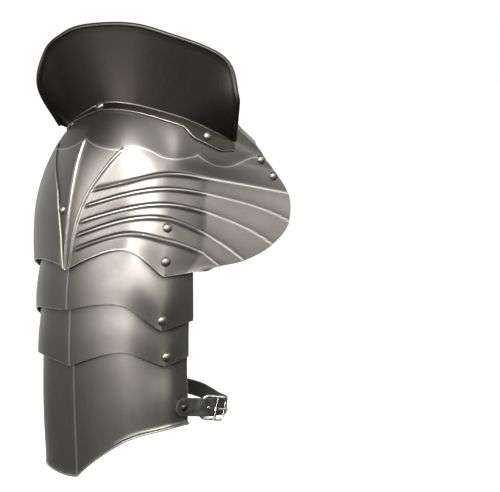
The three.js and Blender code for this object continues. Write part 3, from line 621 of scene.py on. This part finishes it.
def make_guard():
    v = spans((-1, 0, 8), (0, 1, 34))
    t = spans((-GUARD_BACK_REACH, 0, 44), (0, GUARD_REACH, 90))
    v_grid, t_grid = np.meshgrid(v, t, indexing="ij")
    inner = guard_at(v_grid, t_grid)
    normal = unit(np.cross(np.gradient(inner, axis=1), np.gradient(inner, axis=0)))
    points = inner + normal * SHEET
    piece, row, column = lay_grid("neck_guard_looks", points)
    foot_edge = np.linalg.norm(points - points[:1], axis=-1)
    bend = np.abs(v_grid) * np.where(v_grid < 0, FOOT_WIDTH, GUARD_HEIGHT)
    mark(piece, "edge", EDGE_ZONE - np.minimum(foot_edge, EDGE_ZONE)[row, column])
    # a painted highlight along the bend between the foot and the wall
    mark(piece, "crest", bead(bend, 0.8)[row, column])
    # painted shade on the wall beside the rolled rim
    to_top = np.linalg.norm(points - points[-1:], axis=-1)
    to_front = np.linalg.norm(points - points[:, -1:], axis=-1)
    beside_rim = bead(np.minimum(to_top, to_front) - RIM_RADIUS - 0.7, 1.0)
    mark(piece, "painted_shade", np.where(v_grid > 0.02, beside_rim, 0)[row, column])
    thicken(piece, SHEET)
    round_edges(piece, 0.4)
    bead_up = np.linspace(0.04, 1, 26)[:-1]
    top = np.linspace(GUARD_REACH, -GUARD_BACK_REACH, 150)
    path = np.concatenate([
        guard_at(bead_up, np.full_like(bead_up, GUARD_REACH)),
        guard_at(np.ones_like(top), top),
    ])
    for _ in range(6):
        path[1:-1] = (path[:-2] + 2 * path[1:-1] + path[2:]) / 4
    rim = lay_tube("neck_guard_rim", path, RIM_RADIUS, 14, closed=False)
    join(piece, rim)
    smooth(piece, 40)
    return finish_piece(piece, "shoulder", "dark_steel", "neck_guard")


# Rivets: head radius and height, shank radius and length, inner head radius
PLATE_RIVET = {"head": 4, "height": 2.6, "shank": 1.8, "depth": 3, "inner": 3.4}
HINGE_RIVET = {"head": 4, "height": 2.6, "shank": 1.8, "depth": 6, "inner": 3.4}
STRAP_RIVET = {"head": 3.2, "height": 2.1, "shank": 1.4, "depth": 4.4, "inner": 2.8}
STUD = {"head": 1.6, "height": 0.9, "shank": 0.6, "depth": 2.8, "inner": 1.3}
INNER_HEAD_HEIGHT = 1.2
HEAD_RIM = 0.3

# The hinges, each a rivet at station t in front and one behind, on row s of the covering plate
HINGES = [
    {"node": "upper_hinge_rivet", "rows": SHOULDER_ROWS, "outwards": 1, "s": 0.42, "t": 2.04,
     "body": "shoulder"},
    {"node": "lower_hinge_rivet", "rows": UPPER_LAME_ROWS, "outwards": -1, "s": 2.62, "t": 2.02,
     "body": "first_lame"},
    {"node": "arm_hinge_rivet", "rows": LOWER_LAME_ROWS, "outwards": -1, "s": 2.55, "t": 2.08,
     "body": "second_lame"},
]
# The other plate rivets, by row s of the shoulder plate or by v, the share of the guard's foot
SHOULDER_SEATS = [
    {"node": "wing_rivet", "s": 1.6, "t": 2.03},
    {"node": "ridge_rivet", "s": 3.95, "t": -0.15},
    {"node": "neck_rivet_1", "s": 6.65, "t": 3.9},
    {"node": "neck_rivet_2", "s": 5.7, "t": 3.93},
]
GUARD_SEATS = [
    {"node": "guard_rivet_front", "v": -0.55, "t": 3.12},
    {"node": "guard_rivet_middle", "v": -0.45, "t": 0.0},
]


def make_rivet(name, size):
    """A half ball flattened to a dome, its flat side inset to the shank, drawn out and headed inside."""
    deselect()
    bpy.ops.mesh.primitive_uv_sphere_add(segments=28, ring_count=16, radius=1)
    rivet = bpy.context.object
    rivet.name = name
    bpy.ops.object.mode_set(mode="EDIT")
    bpy.ops.mesh.select_all(action="SELECT")
    bpy.ops.mesh.bisect(plane_co=(0, 0, 0.08), plane_no=(0, 0, 1), clear_inner=True)
    bpy.ops.mesh.select_all(action="SELECT")
    bpy.ops.transform.resize(
        value=[size["head"] * MM, size["head"] * MM, size["height"] * MM], center_override=(0, 0, 0)
    )
    bpy.ops.mesh.select_all(action="DESELECT")
    bpy.ops.mesh.select_non_manifold()

    def draw(down, scale):
        bpy.ops.mesh.extrude_region_move(TRANSFORM_OT_translate={"value": (0, 0, -down * MM)})
        bpy.ops.transform.resize(value=[scale, scale, 1])

    draw(HEAD_RIM, 1)
    draw(0, size["shank"] / size["head"])
    draw(size["depth"], 1)
    draw(0, size["inner"] / size["shank"])
    draw(INNER_HEAD_HEIGHT, 0.8)
    bpy.ops.mesh.edge_face_add()
    bpy.ops.mesh.select_all(action="SELECT")
    bpy.ops.mesh.normals_make_consistent(inside=False)
    bpy.ops.object.mode_set(mode="OBJECT")
    smooth(rivet, 40)
    return rivet


def set_rivet(master, node, place, outward, body, slot):
    """A copy of the rivet with its own mesh, turned outward and set on its seat."""
    copy = master.copy()
    copy.data = master.data.copy()
    copy.name = node + "_looks"
    bpy.context.scene.collection.objects.link(copy)
    turn = Vector((0, 0, 1)).rotation_difference(Vector(outward)).to_matrix().to_4x4()
    copy.data.transform(Matrix.Translation(Vector(place) * MM) @ turn)
    return finish_piece(copy, body, slot, node)


def on_sheet(rows, s, t, outwards):
    return sheet_at(rows, s, t), sheet_normal(rows, s, t, outwards)


def on_guard(v, t):
    h = 0.01
    along_line = guard_at(v, t + h) - guard_at(v, t - h)
    outward = unit(np.cross(along_line, guard_at(v + h, t) - guard_at(v - h, t)))
    return guard_at(v, t) + outward * SHEET, outward


def make_rivets():
    plain = make_rivet("rivet", PLATE_RIVET)
    hinge = make_rivet("hinge_rivet", HINGE_RIVET)
    for sign, end in ((1, "front"), (-1, "back")):
        for row in HINGES:
            seat = on_sheet(row["rows"], row["s"], sign * row["t"], row["outwards"])
            set_rivet(hinge, f"{row['node']}_{end}", *seat, row["body"], "steel")
    for row in SHOULDER_SEATS:
        set_rivet(plain, row["node"], *on_sheet(SHOULDER_ROWS, row["s"], row["t"], 1), "shoulder", "steel")
    for row in GUARD_SEATS:
        set_rivet(plain, row["node"], *on_guard(row["v"], row["t"]), "shoulder", "steel")
    strap = make_rivet("strap_rivet", STRAP_RIVET)
    stud = make_rivet("stud", STUD)
    on_tab = on_strap(0, 0, RIVET_LEVEL + STRAP_THICK)
    on_billet = billet_seat() + [0, STRAP_THICK + BILLET_GAP, 0]
    on_fold = on_strap(STUD_PLACE, 0, STUD_LEVEL + STRAP_THICK)
    set_rivet(strap, "strap_rivet_front", on_tab, FRONTWARD, "arm", "dark_steel")
    set_rivet(strap, "strap_rivet_back", on_billet, -FRONTWARD, "arm", "dark_steel")
    set_rivet(stud, "strap_stud", on_fold, FRONTWARD, "arm", "nickel")
    for master in (plain, hinge, strap, stud):
        bpy.data.objects.remove(master)


# Strap and buckle
STRAP_WIDTH = 15
STRAP_THICK = 2.2
STRAP_SLOPE = -0.27
STRAP_ROUND = 0.6
# The row and the station of the arm plate where a strap is riveted
TAB_ROW = 2.36
STRAP_STATION = 2.7
# Heights over the plate: of the tab's underside at its rivet and at its stud, and of the billet
RIVET_LEVEL = 1.1
STUD_LEVEL = 1.4
BILLET_GAP = 0.7
STUD_PLACE = 25.5
TAB_LIFT = 0.3
FRONTWARD = np.array([0.0, -1, 0])

# The buckle: its wire, its frame by u and w of each bar, and its prong
WIRE_RADIUS = 1.1
BUCKLE_HEIGHT = 21
BUCKLE_CORNER = 3.5
BUCKLE_LEFT = {"u": 21, "w": 0.7}
BUCKLE_MIDDLE = {"u": 33, "w": 5.2}
BUCKLE_RIGHT = {"u": 42, "w": 5.5}
COLLAR_RADIUS = 2
COLLAR_HALF = 1.5
PRONG_RADIUS = 0.8
PRONG_START = 0.3
PRONG_PAST = 1.7
PRONG_RISE = 2.3
PRONG_TAPER = 0.35

# The tab by u along the strap from its rivet, w above the plate and its width
TAB_STATIONS = [
    {"u": -7.5, "w": 1, "width": 3},
    {"u": -7.2, "w": 1, "width": 6},
    {"u": -6.2, "w": 1, "width": 9.6},
    {"u": -4.5, "w": 0.9, "width": 12.6},
    {"u": -2.5, "w": 0.85, "width": 14.4},
    {"u": 0, "w": 0.8, "width": 15},
    {"u": 8, "w": 0.7, "width": 15},
    {"u": 13, "w": 0.4, "width": 15},
    {"u": 17, "w": 1.2, "width": 15},
    {"u": 21, "w": 2, "width": 15},
    {"u": 25, "w": 1.2, "width": 15},
    {"u": 29, "w": 0.2, "width": 15},
    {"u": 33, "w": 0, "width": 15},
    {"u": 36.5, "w": 0, "width": 15},
]
# The billet round the inside of the arm
INNER_ARM = [[86, -38, -256], [94, 0, -258], [86, 36, -259], [62, 66, -258]]


def on_strap(u, v, w):
    seat = sheet_at(ARM_PLATE_ROWS, TAB_ROW, STRAP_STATION)
    droop = math.atan(STRAP_SLOPE)
    u, v, w = np.broadcast_arrays(np.asarray(u, float), np.asarray(v, float), np.asarray(w, float))
    return np.stack([
        seat[0] + u * math.cos(droop) - v * math.sin(droop),
        seat[1] - w,
        seat[2] + u * math.sin(droop) + v * math.cos(droop),
    ], axis=-1)


def billet_seat():
    return sheet_at(ARM_PLATE_ROWS, TAB_ROW, -STRAP_STATION)


def curve_through(points, count):
    """Even samples of a smooth curve through points."""
    points = np.asarray(points, float)
    padded = np.concatenate([2 * points[:1] - points[1:2], points, 2 * points[-1:] - points[-2:-1]])
    knots = np.concatenate([[0], np.cumsum(np.sqrt(np.linalg.norm(np.diff(padded, axis=0), axis=1)))])
    x = np.linspace(knots[1], knots[-2], count)
    i = np.clip(np.searchsorted(knots, x, side="right") - 1, 1, len(knots) - 3)

    def mix(a, b, ka, kb):
        share = ((x - ka) / (kb - ka))[:, None]
        return a * (1 - share) + b * share

    k = [knots[i + n] for n in (-1, 0, 1, 2)]
    p = [padded[i + n] for n in (-1, 0, 1, 2)]
    a1, a2, a3 = mix(p[0], p[1], k[0], k[1]), mix(p[1], p[2], k[1], k[2]), mix(p[2], p[3], k[2], k[3])
    b1, b2 = mix(a1, a2, k[0], k[2]), mix(a2, a3, k[1], k[3])
    return mix(b1, b2, k[1], k[2])


def finish_strap(name, points, node):
    piece, row, column = lay_grid(name, points)
    mark(piece, "edge", EDGE_ZONE - np.minimum(edge_distance(points), EDGE_ZONE)[row, column])
    apply_modifier(piece, "SOLIDIFY", thickness=STRAP_THICK * MM, offset=1)
    round_edges(piece, STRAP_ROUND, 3)
    smooth(piece, 50)
    return finish_piece(piece, "arm", "leather", node)


def make_tab():
    u = np.array([station["u"] for station in TAB_STATIONS])
    fine = np.concatenate([u[:5], np.linspace(0, u[-1], 60)])
    w = np.interp(fine, u, [station["w"] for station in TAB_STATIONS]) + TAB_LIFT
    width = np.interp(fine, u, [station["width"] for station in TAB_STATIONS])
    v = np.linspace(-0.5, 0.5, 13)
    points = on_strap(fine[None, :], v[:, None] * width[None, :], w[None, :])
    return finish_strap("strap_tab_looks", points, "strap_tab")


def make_billet():
    on_back = billet_seat() + np.array([[12, BILLET_GAP, -2], [0, BILLET_GAP, 0], [-8, BILLET_GAP, 2]])
    path = curve_through([
        on_strap(29, 0, -2.5), on_strap(36, 0, -2.5), on_strap(44, 0, -3.1), on_strap(54, 0, -8),
        *INNER_ARM, *on_back,
    ], 150)
    upright = np.array([0.0, 0, 1])
    strap_up = on_strap(0, 1, 0) - on_strap(0, 0, 0)
    turned = smoothstep(np.linspace(0, 1, len(path)), 0.05, 0.3)[:, None]
    up = unit(strap_up * (1 - turned) + upright * turned)
    v = np.linspace(-0.5, 0.5, 13)
    points = path[None] + up[None] * (v * STRAP_WIDTH)[:, None, None]
    return finish_strap("strap_billet_looks", points, "strap_billet")


def make_buckle():
    half = BUCKLE_HEIGHT / 2 - WIRE_RADIUS
    left, middle, right = BUCKLE_LEFT["u"], BUCKLE_MIDDLE["u"], BUCKLE_RIGHT["u"]
    corner = BUCKLE_CORNER
    turn = np.linspace(0, math.pi / 2, 8)
    corners = [(right - corner, half - corner, 0), (left + corner, half - corner, math.pi / 2),
               (left + corner, corner - half, math.pi), (right - corner, corner - half, 1.5 * math.pi)]
    outline = []
    for u, v, start in corners:
        outline += [(u + corner * math.cos(start + a), v + corner * math.sin(start + a)) for a in turn]
    outline = np.array(outline)
    level = np.interp(outline[:, 0], [left, middle, right],
                      [BUCKLE_LEFT["w"], BUCKLE_MIDDLE["w"], BUCKLE_RIGHT["w"]])
    wire_path = on_strap(outline[:, 0], outline[:, 1], level)
    frame_wire = lay_tube("buckle_frame_looks", wire_path, WIRE_RADIUS, 14, closed=True)
    v = np.linspace(-half, half, 9)
    bar_path = on_strap(middle, v, BUCKLE_MIDDLE["w"])
    cross = lay_tube("buckle_bar", bar_path, WIRE_RADIUS * 0.9, 14, closed=False)
    join(frame_wire, cross)
    smooth(frame_wire, 40)
    finish_piece(frame_wire, "arm", "nickel", "buckle_frame")
    v = np.linspace(-COLLAR_HALF, COLLAR_HALF, 7)
    collar_path = on_strap(middle, v, BUCKLE_MIDDLE["w"])
    collar = lay_tube("buckle_prong_looks", collar_path, COLLAR_RADIUS, 16, closed=False)
    along = np.linspace(0, 1, 12)
    prong_u = middle + PRONG_START + along * (right + PRONG_PAST - middle)
    prong_w = BUCKLE_MIDDLE["w"] + PRONG_RISE + along * (BUCKLE_RIGHT["w"] - BUCKLE_MIDDLE["w"])
    prong_radius = PRONG_RADIUS * (1 - PRONG_TAPER * along**3)
    tongue = lay_tube("buckle_tongue", on_strap(prong_u, 0, prong_w), prong_radius, 12, closed=False)
    join(collar, tongue)
    smooth(collar, 40)
    finish_piece(collar, "arm", "nickel", "buckle_prong")


def finish_piece(piece, body, slot, node):
    """The piece with its material, on its body, in place of a CAD node."""
    piece.data.materials.clear()
    piece.data.materials.append(MATERIALS[slot])
    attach(piece, body)
    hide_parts(node)
    return piece


# Materials

# How a pattern is stretched: not at all, or along the height
EVEN = (1, 1, 1)
UPRIGHT = (1, 1, 0.06)

STEEL_ROUGHNESS = 0.46
# bright is the colour of the painted highlights and of the worn edges
STEELS = {
    "steel": {"name": "satin_steel", "painted_scallop_light": True, "wear": 0.6, "bright": (0.65, 0.62, 0.57, 1),
              "dark": (0.15, 0.142, 0.127, 1), "pale": (0.185, 0.175, 0.157, 1)},
    # dark_steel: colours partly the darker finish of the neck guard and the strap rivets and partly painted
    # shade for the dark surroundings that the guard mirrors
    "dark_steel": {"name": "dark_steel", "painted_scallop_light": False, "wear": 0.7, "bright": (0.4, 0.37, 0.33, 1),
                   "dark": (0.04, 0.036, 0.0305, 1), "pale": (0.05, 0.045, 0.038, 1)},
}
LEATHER_BLACK = (0.008, 0.008, 0.008, 1)
LEATHER_CREASED = (0.022, 0.021, 0.02, 1)
LEATHER_WORN = (0.05, 0.05, 0.05, 1)
NICKEL_DULL = (0.5, 0.46, 0.42, 1)
NICKEL_BRIGHT = (0.75, 0.72, 0.68, 1)


def node_group(name, inputs, outputs):
    group = bpy.data.node_groups.new(name, "ShaderNodeTree")
    for label, value in inputs.items():
        socket = group.interface.new_socket(label, in_out="INPUT", socket_type="NodeSocketFloat")
        socket.default_value = value
    for label in outputs:
        group.interface.new_socket(label, in_out="OUTPUT", socket_type="NodeSocketFloat")
    return group, group.nodes.new("NodeGroupInput"), group.nodes.new("NodeGroupOutput")


class Tree:
    """Short ways to add and link nodes in one tree."""

    def __init__(self, tree):
        self.tree = tree

    def add(self, kind, values=None, **settings):
        node = self.tree.nodes.new(kind)
        for key, value in settings.items():
            setattr(node, key, value)
        for key, value in (values or {}).items():
            self.set(node.inputs[key], value)
        return node

    def set(self, socket, value):
        if isinstance(value, bpy.types.NodeSocket):
            self.tree.links.new(value, socket)
        else:
            socket.default_value = value

    def math(self, operation, first, second=0.0):
        return self.add("ShaderNodeMath", {0: first, 1: second}, operation=operation).outputs[0]

    def ramp(self, value, low, high, to_low=0.0, to_high=1.0):
        values = {"Value": value, "From Min": low, "From Max": high, "To Min": to_low, "To Max": to_high}
        return self.add("ShaderNodeMapRange", values, interpolation_type="SMOOTHSTEP").outputs["Result"]

    def noise(self, vector, scale, detail=2.0, roughness=0.5):
        values = {"Vector": vector, "Scale": scale, "Detail": detail, "Roughness": roughness}
        return self.add("ShaderNodeTexNoise", values).outputs["Fac"]

    def stretched(self, scale):
        coordinates = self.add("ShaderNodeTexCoord").outputs["Object"]
        return self.add("ShaderNodeMapping", {"Vector": coordinates, "Scale": scale}).outputs["Vector"]

    def mix(self, factor, first, second):
        node = self.add("ShaderNodeMix", data_type="RGBA")
        self.set(node.inputs["Factor"], factor)
        self.set(node.inputs["A"], first)
        self.set(node.inputs["B"], second)
        return node.outputs["Result"]


def satin_grain_group():
    """Fine upright brush marks: a height for bump and a mask for roughness."""
    group, given, put = node_group("satin_grain", {"Depth": 1.0}, ["Height", "Mask"])
    t = Tree(group)
    streaks = t.noise(t.stretched(UPRIGHT), 900.0, 3.0, 0.6)
    specks = t.noise(t.stretched(EVEN), 420.0, 2.0, 0.6)
    height = t.math("ADD", t.math("MULTIPLY", streaks, 0.7), t.math("MULTIPLY", specks, 0.5))
    t.set(put.inputs["Height"], t.math("MULTIPLY", height, given.outputs["Depth"]))
    t.set(put.inputs["Mask"], streaks)
    return group


def patina_group():
    """Slow cloudy darkening of the steel, with smaller smudges in it."""
    group, given, put = node_group("patina", {"Cloud Scale": 22.0}, ["Mask"])
    t = Tree(group)
    clouds = t.noise(t.stretched(EVEN), given.outputs["Cloud Scale"], 3.0, 0.5)
    smudges = t.noise(t.stretched(EVEN), 260.0, 3.0, 0.6)
    both = t.math("ADD", t.math("MULTIPLY", clouds, 0.75), t.math("MULTIPLY", smudges, 0.25))
    t.set(put.inputs["Mask"], t.ramp(both, 0.3, 0.7))
    return group


def edge_wear_group():
    """A bright, ragged, rubbed line along the border of a piece."""
    group, given, put = node_group("edge_wear", {"Width": 0.7}, ["Bright"])
    t = Tree(group)
    closeness = t.add("ShaderNodeAttribute", attribute_name="edge").outputs["Fac"]
    distance = t.math("SUBTRACT", EDGE_ZONE, closeness)
    ragged = t.ramp(t.noise(t.stretched(EVEN), 260.0, 3.0, 0.6), 0.3, 0.7, 0.5, 1.4)
    worn = t.math("DIVIDE", distance, t.math("MULTIPLY", ragged, given.outputs["Width"]))
    t.set(put.inputs["Bright"], t.ramp(worn, 0.5, 1.3, 1.0, 0.0))
    return group


def new_material(name):
    material = bpy.data.materials.new(name)
    material.use_nodes = True
    t = Tree(material.node_tree)
    return material, t, material.node_tree.nodes["Principled BSDF"]


# A darker copy of a colour, for painted shade
def shaded(colour, share):
    return tuple(channel * share for channel in colour[:3]) + (1,)


def steel_material(name, painted_scallop_light, wear, bright, dark, pale):
    material, t, shader = new_material(name)
    grain = t.add("ShaderNodeGroup", node_tree=bpy.data.node_groups["satin_grain"])
    patina = t.add("ShaderNodeGroup", node_tree=bpy.data.node_groups["patina"])
    edge = t.add("ShaderNodeGroup", node_tree=bpy.data.node_groups["edge_wear"])
    crest = t.add("ShaderNodeAttribute", attribute_name="crest").outputs["Fac"]
    painted_shade = t.add("ShaderNodeAttribute", attribute_name="painted_shade").outputs["Fac"]
    colour = t.mix(patina.outputs["Mask"], dark, pale)
    # painted shade: the steel darkened along the marked lines
    colour = t.mix(t.math("MULTIPLY", painted_shade, 0.75), colour, shaded(dark, 0.25))
    # painted highlight: the steel brightened along the marked lines
    colour = t.mix(t.math("MULTIPLY", crest, 0.8), colour, bright)
    colour = t.mix(t.math("MULTIPLY", edge.outputs["Bright"], wear), colour, bright)
    if painted_scallop_light:
        scallop = t.add("ShaderNodeAttribute", attribute_name="scallop").outputs["Fac"]
        # painted shade above the scallop line and a painted highlight along it
        above = t.math("SUBTRACT", scallop, SCALLOP_ZERO)
        colour = t.mix(t.ramp(above, -0.5, 3.5, 0.0, 0.6), colour, shaded(dark, 0.3))
        line = t.math("ABSOLUTE", above)
        colour = t.mix(t.ramp(line, 0.25, 0.75, 0.4, 0.0), colour, bright)
    rough = t.math("ADD", t.math("MULTIPLY", grain.outputs["Mask"], 0.12), STEEL_ROUGHNESS - 0.06)
    rough = t.math("ADD", rough, t.math("MULTIPLY", patina.outputs["Mask"], -0.04))
    bump = t.add("ShaderNodeBump", {"Height": grain.outputs["Height"], "Strength": 0.12, "Distance": 0.0002})
    t.set(shader.inputs["Base Color"], colour)
    t.set(shader.inputs["Roughness"], rough)
    t.set(shader.inputs["Normal"], bump.outputs["Normal"])
    shader.inputs["Metallic"].default_value = 1.0
    return material


def leather_material():
    material, t, shader = new_material("black_leather")
    pores = t.noise(t.stretched(EVEN), 900.0, 4.0, 0.6)
    creases = t.noise(t.stretched(EVEN), 160.0, 3.0, 0.6)
    edge = t.add("ShaderNodeGroup", node_tree=bpy.data.node_groups["edge_wear"])
    colour = t.mix(t.ramp(creases, 0.35, 0.7), LEATHER_BLACK, LEATHER_CREASED)
    colour = t.mix(t.math("MULTIPLY", edge.outputs["Bright"], 0.25), colour, LEATHER_WORN)
    height = t.math("ADD", t.math("MULTIPLY", pores, 0.5), creases)
    bump = t.add("ShaderNodeBump", {"Height": height, "Strength": 0.35, "Distance": 0.0004})
    t.set(shader.inputs["Base Color"], colour)
    t.set(shader.inputs["Roughness"], t.ramp(creases, 0.3, 0.7, 0.5, 0.62))
    t.set(shader.inputs["Normal"], bump.outputs["Normal"])
    return material


def nickel_material():
    material, t, shader = new_material("bright_nickel")
    smudges = t.noise(t.stretched(EVEN), 300.0, 3.0, 0.6)
    colour = t.mix(t.ramp(smudges, 0.35, 0.7), NICKEL_DULL, NICKEL_BRIGHT)
    t.set(shader.inputs["Base Color"], colour)
    t.set(shader.inputs["Roughness"], t.ramp(smudges, 0.3, 0.7, 0.14, 0.26))
    shader.inputs["Metallic"].default_value = 1.0
    return material


satin_grain_group()
patina_group()
edge_wear_group()
MATERIALS = {slot: steel_material(**steel) for slot, steel in STEELS.items()}
MATERIALS["nickel"] = nickel_material()
MATERIALS["leather"] = leather_material()

make_shoulder()
make_plate("upper_lame", UPPER_LAME_ROWS, "first_lame", lower_edge(SHOULDER_ROWS, 0))
make_plate("lower_lame", LOWER_LAME_ROWS, "second_lame", lower_edge(UPPER_LAME_ROWS, 3))
make_plate("arm_plate", ARM_PLATE_ROWS, "arm", lower_edge(LOWER_LAME_ROWS, 3), rim=True)
make_guard()
make_tab()
make_billet()
make_buckle()
make_rivets()


# Camera, light and floor

CAMERA_PLACE = (-394.4, -613.8, 23.0)
CAMERA_LOOK = (0.659, 0.7295, -0.1822)
FOCAL_PIXELS = 880
IMAGE_WIDTH = 500
SENSOR = 36

# The soft lights stand round a point of the object, in metres. At azimuth 0 a light stands towards -Y.
LIGHT_AIM = (0.02, -0.02, -0.1)
LIGHT_DISTANCE = 1.8
LIGHTS = [
    {"name": "key", "azimuth": -33, "elevation": 33, "size": (1.9, 0.7), "power": 112},
    {"name": "window", "azimuth": -86, "elevation": 7, "size": (1.7, 0.8), "power": 36},
    {"name": "front_fill", "azimuth": 52, "elevation": 30, "size": (1.2, 0.9), "power": 10},
    {"name": "low_fill", "azimuth": 8, "elevation": 10, "size": (0.8, 0.8), "power": 3},
    {"name": "rim", "azimuth": -168, "elevation": 0, "size": (0.8, 1.0), "power": 2.2},
]
FLOOR_LEVEL = -0.62
FLOOR_SIZE = 400
FLOOR_GREY = (0.5, 0.5, 0.5, 1)
WHITE = (1, 1, 1, 1)


def make_camera():
    camera = bpy.data.objects.new("camera", bpy.data.cameras.new("camera"))
    bpy.context.scene.collection.objects.link(camera)
    camera.location = Vector(CAMERA_PLACE) * MM
    camera.rotation_mode = "QUATERNION"
    camera.rotation_quaternion = Vector(CAMERA_LOOK).to_track_quat("-Z", "Y")
    camera.data.sensor_width = SENSOR
    camera.data.lens = FOCAL_PIXELS / IMAGE_WIDTH * SENSOR
    camera.data.clip_start = 0.01
    bpy.context.scene.camera = camera


def softbox(name, azimuth, elevation, size, power):
    """A rectangular soft light that points at the object."""
    light = bpy.data.objects.new(name, bpy.data.lights.new(name, "AREA"))
    bpy.context.scene.collection.objects.link(light)
    light.data.shape = "RECTANGLE"
    light.data.size, light.data.size_y = size
    light.data.energy = power
    a, e = math.radians(azimuth), math.radians(elevation)
    back = Vector((math.sin(a) * math.cos(e), -math.cos(a) * math.cos(e), math.sin(e)))
    light.location = Vector(LIGHT_AIM) + back * LIGHT_DISTANCE
    light.rotation_mode = "QUATERNION"
    light.rotation_quaternion = (-back).to_track_quat("-Z", "Y")


def make_stage():
    deselect()
    bpy.ops.mesh.primitive_plane_add(size=FLOOR_SIZE, location=(0, 0, FLOOR_LEVEL))
    floor = bpy.context.object
    floor.name = "floor"
    material, t, shader = new_material("pale_floor")
    seen = t.add("ShaderNodeLightPath").outputs["Is Camera Ray"]
    shader.inputs["Base Color"].default_value = FLOOR_GREY
    shader.inputs["Roughness"].default_value = 0.9
    shader.inputs["Emission Color"].default_value = WHITE
    t.set(shader.inputs["Emission Strength"], seen)
    floor.data.materials.append(material)
    floor.visible_glossy = False


# The room that the steel mirrors: a white backdrop behind the object, dim elsewhere
BACKDROP_WAY = (0.67, 0.74, 0.05)
ROOM_GREY = (0.04, 0.039, 0.036, 1)
BACKDROP_WHITE = (0.85, 0.86, 0.86, 1)


def make_room():
    world = bpy.data.worlds.new("studio")
    bpy.context.scene.world = world
    world.use_nodes = True
    t = Tree(world.node_tree)
    way = t.add("ShaderNodeTexCoord").outputs["Generated"]
    towards = t.add("ShaderNodeVectorMath", {0: way, 1: BACKDROP_WAY}, operation="DOT_PRODUCT")
    room = t.mix(t.ramp(towards.outputs["Value"], 0.22, 0.74), ROOM_GREY, BACKDROP_WHITE)
    seen = t.add("ShaderNodeLightPath").outputs["Is Camera Ray"]
    t.set(world.node_tree.nodes["Background"].inputs["Color"], t.mix(seen, room, WHITE))


make_camera()
make_stage()
make_room()
for light in LIGHTS:
    softbox(**light)
bpy.context.scene.view_settings.view_transform = "Standard"
